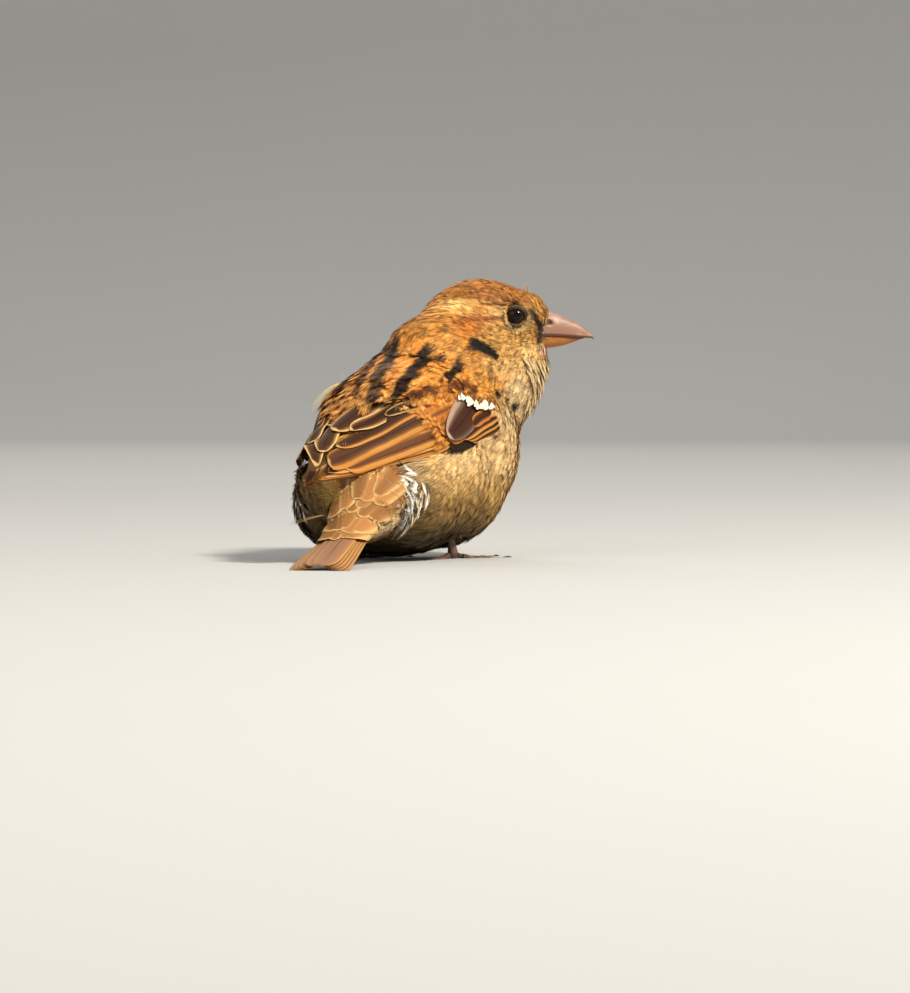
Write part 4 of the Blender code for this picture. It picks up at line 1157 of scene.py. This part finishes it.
RUMP_ROWS = (
    # from and to past the root, half width, lift, angles round the line
    (16.0, 33.0, 2.6, 0.04, (-66.0, -34.0, 0.0, 32.0, 62.0)),
    (9.0, 28.0, 3.1, 0.14, (-68.0, -42.0, -14.0, 12.0, 36.0, 57.0)),
    (3.0, 21.0, 3.3, 0.24, (-54.0, -28.0, -2.0, 20.0, 40.0, 58.0)),
    (-2.0, 15.5, 3.3, 0.34, (-36.0, -12.0, 12.0, 34.0, 52.0)),
)
COVERT_ROWS, COVERT_COLUMNS = 18, 9
vanes = []
for from_past, to_past, half, lift, turns in RUMP_ROWS:
    for turn in turns:
        t = np.linspace(0.0, 1.0, COVERT_ROWS)
        v = np.linspace(-1.0, 1.0, COVERT_COLUMNS)
        past = from_past + (to_past - from_past) * t + chance.normal() * 1.5
        spread = half * (0.9 + 0.2 * chance.random()) * vane_outline(t, 0.60)
        rise = (lift + 0.08 * chance.random()) * ramp(t, 0.0, 0.55) - 0.6 * (1.0 - t)
        drift = turn * (1.0 - 0.12 * t) + chance.normal() * 4.0
        _, reach = over_rump(past, drift, rise)
        turn_at = drift[:, None] + np.degrees(spread / np.maximum(reach, 2.5))[:, None] * v
        cup = rise[:, None] - 0.12 * v**2
        points, _ = over_rump(np.repeat(past[:, None], COVERT_COLUMNS, axis=1), turn_at, cup)
        # each feather takes a tone at random, and those on the left of the rump are darkened by painted shade
        shade = (0.692 + 0.616 * chance.random()) * (0.8 if turn < -30.0 else 1.0)
        middle = np.asarray((0.33, 0.145, 0.046)) * shade
        looks = (middle, (0.62, 0.38, 0.150), 0.30, 0.30, 0.04, (0.66, 0.42, 0.18))
        vanes.append((points.reshape(-1, 3), np.repeat(t, COVERT_COLUMNS), np.tile(v, COVERT_ROWS), looks))
add_vanes("tail_coverts", vanes, COVERT_ROWS, COVERT_COLUMNS, vane_finish("soft_covert", 0.75, 0.8, 0.3),
          thick=0.02)


# ---------------------------------------------------------------- bill
# A short thick cone of horn in two halves, rooted in the face. The upper one ends in a fine hooked tip and
# overlaps the lower along a cutting edge; a nostril opens near its base, half hidden by bristles.
BILL_LENGTH, BILL_DEPTH, BILL_WIDTH = 14.1, 8.4, 7.4
BILL_START, BILL_ROOTED = np.array((13.0, 0.0, 0.7)), 2.4
LOWER_SHARE = 0.87
BILL_STATIONS, BILL_ROUND = 54, 40
NOSTRIL = (2.9, 1.9)            # ahead and up from the middle of the bill's root


def bill_lines(t):
    """Half width, top, gape and bottom of the closed bill along its length."""
    t = np.clip(t, 0.0, 1.0)
    width = BILL_WIDTH / 2.0 * (1.0 - t) ** 0.72 * (1.0 - 0.10 * t)
    top = BILL_DEPTH * (0.64 * (1.0 - t**1.8) ** 0.63 - 0.27 * t)
    bottom = -BILL_DEPTH * (0.52 * (1.0 - t**1.7) ** 0.9 + 0.18 * t)
    gape = -BILL_DEPTH * (0.13 + 0.10 * t**1.5)
    return width, top, gape, bottom


def nostril(points, long):
    return blob((points[..., 0] - NOSTRIL[0]) / long, (points[..., 2] - NOSTRIL[1]) / 0.42)


def tube_faces(rings, sides):
    """Faces round a tube, and fans that close it to one point more at each end."""
    j = np.arange(sides)
    following = (j + 1) % sides
    last = (rings - 1) * sides
    start = np.stack((following, j, np.full(sides, rings * sides)), axis=1)
    stop = np.stack((last + j, last + following, np.full(sides, rings * sides + 1)), axis=1)
    return grid_faces(rings, sides, True), np.concatenate((start, stop))


def half_bill(upper):
    """Points and faces of one half: an arched section from the cutting edge over the ridge and back."""
    t = np.linspace(-BILL_ROOTED / BILL_LENGTH, 0.9985, BILL_STATIONS)
    t = np.where(t < 0.0, t, 1.0 - (1.0 - t) ** 1.25)
    along = np.clip(t, 0.0, 1.0)
    if upper:
        width, edge, gape, _ = bill_lines(t)
        reach, curve, under = 1.0, 1.12, 0.25
        hook = -0.55 * np.clip((t - 0.93) / 0.07, 0.0, 1.0) ** 2
    else:
        width, _, _, bottom = bill_lines(t * 0.97)
        width = width * 0.93 * np.sqrt(1.0 - along**5.0)
        gape = bill_lines(along * LOWER_SHARE)[2]
        edge = gape + (bottom - gape) * np.sqrt(1.0 - along**3.5)
        gape = gape - 0.06
        reach, curve, under, hook = LOWER_SHARE, 0.9, 0.12, np.zeros(BILL_STATIONS)
    width = width * np.where(t < 0.0, 1.0 + 0.25 * t, 1.0)
    angle = (np.linspace(0.0, 1.0, BILL_ROUND) * 1.10 - 0.05) * math.pi
    c, s = np.cos(angle), np.sin(angle)
    full = np.sign(c) * np.abs(c) ** 0.82
    arch = np.where(s > 0.0, np.clip(s, 0.0, 1.0) ** curve, s * under)
    rise = gape[:, None] + (edge - gape)[:, None] * arch + hook[:, None]
    ahead = np.repeat((t * BILL_LENGTH * reach)[:, None], BILL_ROUND, axis=1)
    rings = np.stack((ahead, full * width[:, None], rise), axis=2)
    if upper:
        # the nostril, a shallow pit that opens forward under the ridge, on each side
        rings[..., 1] -= np.sign(rings[..., 1]) * nostril(rings, 0.75) * 0.55
    ends = np.array((rings[0].mean(axis=0), rings[-1].mean(axis=0)))
    quads, tris = tube_faces(BILL_STATIONS, BILL_ROUND)
    if not upper:
        quads, tris = quads[:, ::-1], tris[:, ::-1]
    return np.concatenate((rings.reshape(-1, 3), ends)), quads, tris


horn, horn_wire = new_finish("bill_horn", 0.42, Specular_IOR_Level=0.32, Subsurface_Weight=0.06,
                             Subsurface_Scale=0.001)
place, height_on = horn_wire.reading("along"), horn_wire.reading("rise")
fine = horn_wire.noise(260.0, 4.0, stretch=(0.6, 1.0, 3.0))
patches = horn_wire.noise(140.0, 3.0)
upper_tone = patches.step(0.38, 0.62).mix((0.27, 0.135, 0.088), (0.52, 0.33, 0.25))
upper_tone = (place.step(0.55, 1.0) * 0.55).mix(upper_tone, (0.27, 0.14, 0.09))
upper_tone = (height_on.step(0.55, 1.0) * 0.35).mix(upper_tone, (0.22, 0.12, 0.085))
lower_tone = patches.step(0.3, 0.7).mix((0.36, 0.125, 0.020), (0.46, 0.19, 0.045))
lower_tone = (place.step(0.35, 0.95) * 0.75).mix(lower_tone, (0.13, 0.045, 0.018))
bill_tone = horn_wire.reading("lower").mix(upper_tone, lower_tone)
bill_tone = (horn_wire.reading("edge").step(0.30, 0.80) * 0.9).mix(bill_tone, (0.070, 0.018, 0.008))
# painted shade in the nostril's opening
bill_tone = (horn_wire.reading("nostril_shade").step(0.25, 0.7) * 0.85).mix(bill_tone, (0.05, 0.02, 0.012))
finish_with(horn, bill_tone, fine + patches * 0.4, 0.00012, 0.35)
for name, node, is_upper in (("upper_bill", "bill_upper", True), ("lower_bill", "bill_lower", False)):
    local, quads, tris = half_bill(is_upper)
    _, top, gape, _ = bill_lines(local[:, 0] / BILL_LENGTH)
    piece = add_piece(name, from_head(local + BILL_START), [quads, tris], horn, (node,))
    off_edge = np.abs(local[:, 2] - gape)
    note(piece, "along", np.clip(local[:, 0] / BILL_LENGTH, 0.0, 1.0))
    note(piece, "rise", np.clip((local[:, 2] - gape) / np.maximum(top - gape, 0.3), -1.0, 1.0))
    note(piece, "lower", np.full(len(local), 0.0 if is_upper else 1.0))
    note(piece, "edge", np.clip(1.0 - off_edge / 0.95, 0.0, 1.0) * ramp(local[:, 0], -0.5, 0.8))
    note(piece, "nostril_shade", nostril(local, 0.8) * is_upper)


# ---------------------------------------------------------------- eyes
# A dark glossy ball that bulges a little, sunk in the head behind a thin rim of beaded grey skin. Fine
# folds of skin run round below and behind it.
EYE_SHOWS = 2.14                # radius of the opening between the lids
gloss, gloss_wire = new_finish("eye", 0.05, Coat_Weight=0.10, Coat_Roughness=0.03, Specular_IOR_Level=0.16)
from_pupil = gloss_wire.reading("off_centre")
rays = gloss_wire.noise(600.0, 4.0)
iris = rays.step(0.3, 0.7).mix((0.014, 0.005, 0.003), (0.034, 0.012, 0.006))
iris = from_pupil.step(1.30, 1.45).mix((0.002, 0.0018, 0.0016), iris)
iris = from_pupil.step(1.95, 2.25).mix(iris, (0.006, 0.004, 0.003))
finish_with(gloss, iris)

lid, lid_wire = new_finish("eyelid", 0.6, Specular_IOR_Level=0.12)
beads = lid_wire.noise(1500.0, 3.0)
lid_tone = beads.step(0.3, 0.75).mix((0.36, 0.20, 0.08), (0.74, 0.52, 0.28))
# the lids go from near black to their pale tone; the dark over the top of the lids is painted shade
lid_tone = lid_wire.reading("pale_folds_and_painted_shade").mix((0.012, 0.008, 0.006), lid_tone)
finish_with(lid, lid_tone, beads, 0.0002)


def ball(radius, rows, columns):
    turn = np.linspace(0.0, 2.0 * math.pi, columns, endpoint=False)
    a, b = np.meshgrid(np.linspace(-0.5, 0.5, rows) * math.pi, turn, indexing="ij")
    points = np.stack((np.cos(a) * np.cos(b), np.sin(a), np.cos(a) * np.sin(b)), axis=-1) * radius
    return points.reshape(-1, 3), grid_faces(rows, columns, True)[:, (0, 3, 2, 1)]


LID_ROWS, LID_COLUMNS = 26, 112
LID_WIDTH = 1.10                # from the lids' edge out to where feathers begin

for side, side_name in ((1.0, "left"), (-1.0, "right")):
    centre = EYE_PLACE * (1.0, side, 1.0)
    points, faces = ball(EYE_RADIUS, 40, 48)
    points[:, 1] *= 1.0 + 0.035 * ramp(points[:, 1] * side, 1.9, EYE_RADIUS)
    piece = add_piece(f"{side_name}_eye", from_head(points + centre), [faces if side > 0 else faces[:, ::-1]],
                      gloss, (f"eye_{side_name}",))
    note(piece, "off_centre", np.hypot(points[:, 0], points[:, 2]) + 3.0 * (points[:, 1] * side < 0.0))
    # the lids: a rim that hugs the ball, then skin in fine folds out to the feathers, wider below
    turn = np.linspace(0.0, 2.0 * math.pi, LID_COLUMNS, endpoint=False)
    turn_at, past = np.meshgrid(turn, np.linspace(-0.12, 1.0, LID_ROWS), indexing="xy")
    c, s = np.cos(turn_at), np.sin(turn_at)
    corner = 0.16 * blob((c + 1.0) / 0.10) + 0.16 * blob((c - 1.0) / 0.08)
    reach = EYE_SHOWS + corner + past * LID_WIDTH * (1.0 + 0.15 * np.clip(-s, 0.0, 1.0))
    flat = np.stack((c * reach, np.zeros_like(reach), s * reach * 0.86), axis=-1)
    on_skin, out, _ = skin.nearest(from_head(flat + centre))
    hide_depth = np.abs(in_head(on_skin + out * 0.30)[..., 1]) - EYE_PLACE[1]
    ball_depth = np.sqrt(np.clip(EYE_RADIUS**2 - flat[..., 0] ** 2 - flat[..., 2] ** 2, 0.0, None)) + 0.12
    near_ball = ramp(past, 0.55, 0.05)
    depth = np.maximum(hide_depth * (1.0 - near_ball) + ball_depth * near_ball, ball_depth + 0.10)
    low_side = 0.35 + 0.65 * ramp(-s * 0.8 - c * 0.5, -0.4, 0.5)
    folds = np.clip(past * 3.2, 0.0, None)
    beads = 0.5 + 0.5 * np.cos(turn_at * 40.0 + np.floor(folds + 0.5) * 1.7)
    ridge = (0.5 - 0.5 * np.cos(2.0 * math.pi * folds)) * ramp(past, 0.10, 0.3) * ramp(past, 1.0, 0.8)
    depth = depth + blob((past - 0.06) / 0.10) * 0.16 + ridge * low_side * (0.10 + 0.08 * beads)
    flat[..., 1] = side * np.where(past < 0.0, ball_depth - 0.35, depth)
    quads = grid_faces(LID_ROWS, LID_COLUMNS, True)
    piece = add_piece(f"{side_name}_eyelids", from_head((flat + centre).reshape(-1, 3)),
                      [quads if side < 0 else quads[:, ::-1]], lid)
    # the lids' colour: near black at the edge, pale over the beaded folds below and behind, and dark over the
    # top, which is painted shade under the brow
    below = ramp(low_side, 0.40, 0.90)
    pale = 0.04 + below * (0.22 + ridge * (0.28 + 0.52 * beads)) + 0.16 * ramp(past, 0.45, 0.9)
    note(piece, "pale_folds_and_painted_shade", np.clip(pale * ramp(past, 0.04, 0.12), 0.0, 1.0).ravel())


# ---------------------------------------------------------------- legs and feet
# Thin legs sheathed in horny scutes, three toes forward and one back, each jointed with pads below, and
# curved dark claws. They are hidden for the most part under the belly feathers.
SOLE_CUT = 0.12
FOOT_PLACES = {"right": (4.0, -10.0), "left": (-7.0, 11.0)}
# heading, length, radius and how far inside the shank each toe is rooted
TOES = {"inner": (-20.0, 10.5, 0.68, 1.65), "middle": (3.0, 14.0, 0.78, 0.0),
        "outer": (24.0, 11.0, 0.66, -1.65), "hind": (176.0, 8.0, 0.85, 0.2)}
TOE_ROOT = 1.9                  # how far before or behind the shank toes start, and how high it meets them
SHANK = np.array((-3.0, 0.0, 11.5))
CLAW_LENGTH, CLAW_RADIUS = 4.2, 0.5

scute, scute_wire = new_finish("leg_scales", 0.5, Specular_IOR_Level=0.4)
plates = scute_wire.reading("plate")
mottle = scute_wire.noise(500.0, 3.0)
scute_tone = mottle.step(0.3, 0.75).mix((0.070, 0.034, 0.022), (0.17, 0.095, 0.060))
scute_tone = (plates.step(0.35, 0.0) * 0.7).mix(scute_tone, (0.035, 0.018, 0.011))
finish_with(scute, scute_tone, plates + mottle * 0.4, 0.00015, 0.5)
claw_horn, claw_wire = new_finish("claw_horn", 0.3, Specular_IOR_Level=0.45)
finish_with(claw_horn, claw_wire.noise(700.0, 2.0).mix((0.02, 0.012, 0.009), (0.09, 0.05, 0.032)))


def add_limb(name, path, radii, finish, node, scales=0.0, sides=16):
    """A tube along a path with rounded ends, held above the floor. Scutes make shallow rings on it, which
    repeat every few tenths of a millimetre."""
    span = np.concatenate(([0.0], np.cumsum(np.linalg.norm(np.diff(path, axis=0), axis=1))))
    plate = np.abs(np.sin(math.pi * span / scales)) ** 0.5 if scales else np.ones(len(path))
    radii = radii * (0.93 + 0.07 * plate)
    run = unit(np.gradient(path, axis=0))
    across = unit(np.cross(run, np.where(np.abs(run[:, 2:3]) > 0.8, np.array((1.0, 0.0, 0.0)), UP)))
    over = np.cross(across, run)
    turn = np.linspace(0.0, 2.0 * math.pi, sides, endpoint=False)
    ring = across[:, None] * np.cos(turn)[None, :, None] + over[:, None] * np.sin(turn)[None, :, None]
    points = (path[:, None] + ring * radii[:, None, None]).reshape(-1, 3)
    ends = np.array((path[0] - run[0] * radii[0] * 0.4, path[-1] + run[-1] * radii[-1] * 0.5))
    points = np.concatenate((points, ends))
    points[:, 2] = np.maximum(points[:, 2], 0.0)
    piece = add_piece(name, points, tube_faces(len(path), sides), finish, (node,))
    note(piece, "plate", np.concatenate((np.repeat(plate, sides), (1.0, 1.0))))


for side_name, (x, y) in FOOT_PLACES.items():
    mirror = 1.0 if side_name == "left" else -1.0
    t = np.linspace(-0.07, 1.0, 120)
    path = np.array((x, y, TOE_ROOT)) + t[:, None] * SHANK
    radii = 1.05 * np.interp(t, (-0.07, 0.05, 0.3, 0.6, 1.0), (0.9, 1.25, 0.9, 0.95, 1.1))
    add_limb(f"{side_name}_leg", path, radii, scute, f"tarsus_{side_name}", 1.15)
    for toe, (heading, reach, radius, inward) in TOES.items():
        turn = math.radians(heading * mirror)
        ahead = np.array((math.cos(turn), math.sin(turn), 0.0))
        start = np.array((x + (-TOE_ROOT if toe == "hind" else TOE_ROOT), y - inward * mirror, 0.0))
        rest = radius * math.cos(math.pi / 8.0) - SOLE_CUT
        t = np.linspace(0.0, 1.0, 110)
        stations = np.linspace(0.0, 1.0, 6)
        high = np.interp(t, stations, (rest + 1.1, rest + 0.6, rest, rest + 0.12, rest, rest))
        high = np.convolve(np.pad(high, 6, mode="edge"), np.ones(13) / 13.0, mode="valid")
        swell = np.interp(t, stations, (0.92, 1.0, 1.03, 0.9, 1.0, 0.8))
        swell = swell * (1.0 + 0.08 * np.cos(t * 2.0 * math.pi * (4 if toe == "middle" else 3)))
        path = start + ahead * (t * reach)[:, None] + UP * high[:, None]
        add_limb(f"{side_name}_{toe}_toe", path, radius * swell, scute, f"toe_{side_name}_{toe}",
                 0.8)
        t = np.linspace(0.0, 1.0, 40)
        claw = path[-1] + ahead * (0.3 + t * CLAW_LENGTH)[:, None]
        arch = (0.75 * np.sin(math.pi * t) + 0.32 - 0.12 * t) * np.sqrt(t)
        claw[:, 2] = rest * (1.0 - t) + arch + 0.02
        radii = CLAW_RADIUS * (1.0 - 0.62 * t**1.4) * (1.0 - 0.6 * t**6)
        add_limb(f"{side_name}_{toe}_claw", claw, radii, claw_horn, f"claw_{side_name}_{toe}",
                 sides=12)


# ---------------------------------------------------------------- floor, light and camera
# A plain pale floor with its back swept up, soft light from large lamps, and a long lens low behind the
# bird's right side, level with its back.
CAMERA_AZIMUTH, CAMERA_RISE = -56.0, 1.6
CAMERA_LENS, CAMERA_SENSOR = 200.0, 36.0
PICTURE_HEIGHT = 0.24825        # what the picture spans at the bird, top to bottom
PICTURE_CENTRE = (11.0, 16.4)   # right and up of the point under the trunk
# metres along the floor away from the camera, and up
FLOOR_NEAR, FLOOR_FAR, SWEEP, WALL_HIGH, FLOOR_HALF = -2.2, 1.6, 0.8, 3.0, 3.0


def add_stage():
    sweep = [(FLOOR_NEAR, 0.0)]
    for i in range(1, 25):
        turn = i / 24.0 * math.pi / 2.0
        sweep.append((FLOOR_FAR + SWEEP * math.sin(turn), SWEEP * (1.0 - math.cos(turn))))
    sweep.append((FLOOR_FAR + SWEEP, WALL_HIGH))
    turn = math.radians(-CAMERA_AZIMUTH)
    heading = np.array((math.sin(turn), math.cos(turn), 0.0))
    to_side = np.array((heading[1], -heading[0], 0.0)) * FLOOR_HALF
    points = [heading * far + to_side * side + UP * high for far, high in sweep for side in (-1.0, 1.0)]
    faces = [(2 * i, 2 * i + 1, 2 * i + 3, 2 * i + 2) for i in range(len(sweep) - 1)]
    mesh = bpy.data.meshes.new("floor")
    mesh.from_pydata([tuple(p) for p in points], [], faces)
    mesh.shade_smooth()
    paper, wire = new_finish("pale_paper", 0.9)
    finish_with(paper, wire.noise(3.0).mix((0.47, 0.47, 0.465), (0.50, 0.50, 0.495)))
    mesh.materials.append(paper)
    floor = placed("floor", mesh)


def seen_from(azimuth, elevation):
    """The way from the bird to a camera or lamp."""
    turn, rise = math.radians(azimuth), math.radians(elevation)
    return np.array((math.sin(turn) * math.cos(rise), -math.cos(turn) * math.cos(rise), math.sin(rise)))


def add_lamp(name, azimuth, elevation, distance, size, power, colour):
    """A square soft lamp that looks at the bird. Azimuth is measured as the camera's is."""
    back = Vector(seen_from(azimuth, elevation))
    lamp = bpy.data.lights.new(name, "AREA")
    lamp.size, lamp.energy, lamp.color = size, power, colour
    hung = placed(name, lamp)
    hung.location = Vector((0.0, 0.0, 0.035)) + back * distance
    hung.rotation_euler = back.to_track_quat("Z", "Y").to_euler()


def add_camera():
    turn = math.radians(CAMERA_AZIMUTH)
    back = seen_from(CAMERA_AZIMUTH, CAMERA_RISE)
    right = np.array((math.cos(turn), math.sin(turn), 0.0))
    up = np.cross(back, right)
    centre = (SHIFT + right * PICTURE_CENTRE[0] + up * PICTURE_CENTRE[1]) * 0.001
    lens = bpy.data.cameras.new("camera")
    lens.lens, lens.sensor_width = CAMERA_LENS, CAMERA_SENSOR
    lens.clip_start, lens.clip_end = 0.05, 20.0
    camera = placed("camera", lens)
    distance = PICTURE_HEIGHT * CAMERA_LENS / CAMERA_SENSOR
    camera.location = Vector(centre + back * distance)
    camera.rotation_mode = "QUATERNION"
    camera.rotation_quaternion = Vector(-back).to_track_quat("-Z", "Y")
    bpy.context.scene.camera = camera


add_stage()
add_camera()
add_lamp("sunny_lamp", -8.0, 46.0, 1.5, 0.26, 32.0, (1.0, 0.94, 0.83))
add_lamp("near_lamp", -95.0, 30.0, 1.8, 1.2, 6.0, (1.0, 0.98, 0.95))
add_lamp("far_lamp", 130.0, 40.0, 1.8, 1.0, 9.0, (1.0, 0.98, 0.93))
world = bpy.data.worlds.new("studio")
world.use_nodes = True
world.node_tree.nodes["Background"].inputs["Color"].default_value = (1.0, 0.98, 0.94, 1.0)
world.node_tree.nodes["Background"].inputs["Strength"].default_value = 0.36
bpy.context.scene.world = world
bpy.context.scene.view_settings.view_transform = "Standard"
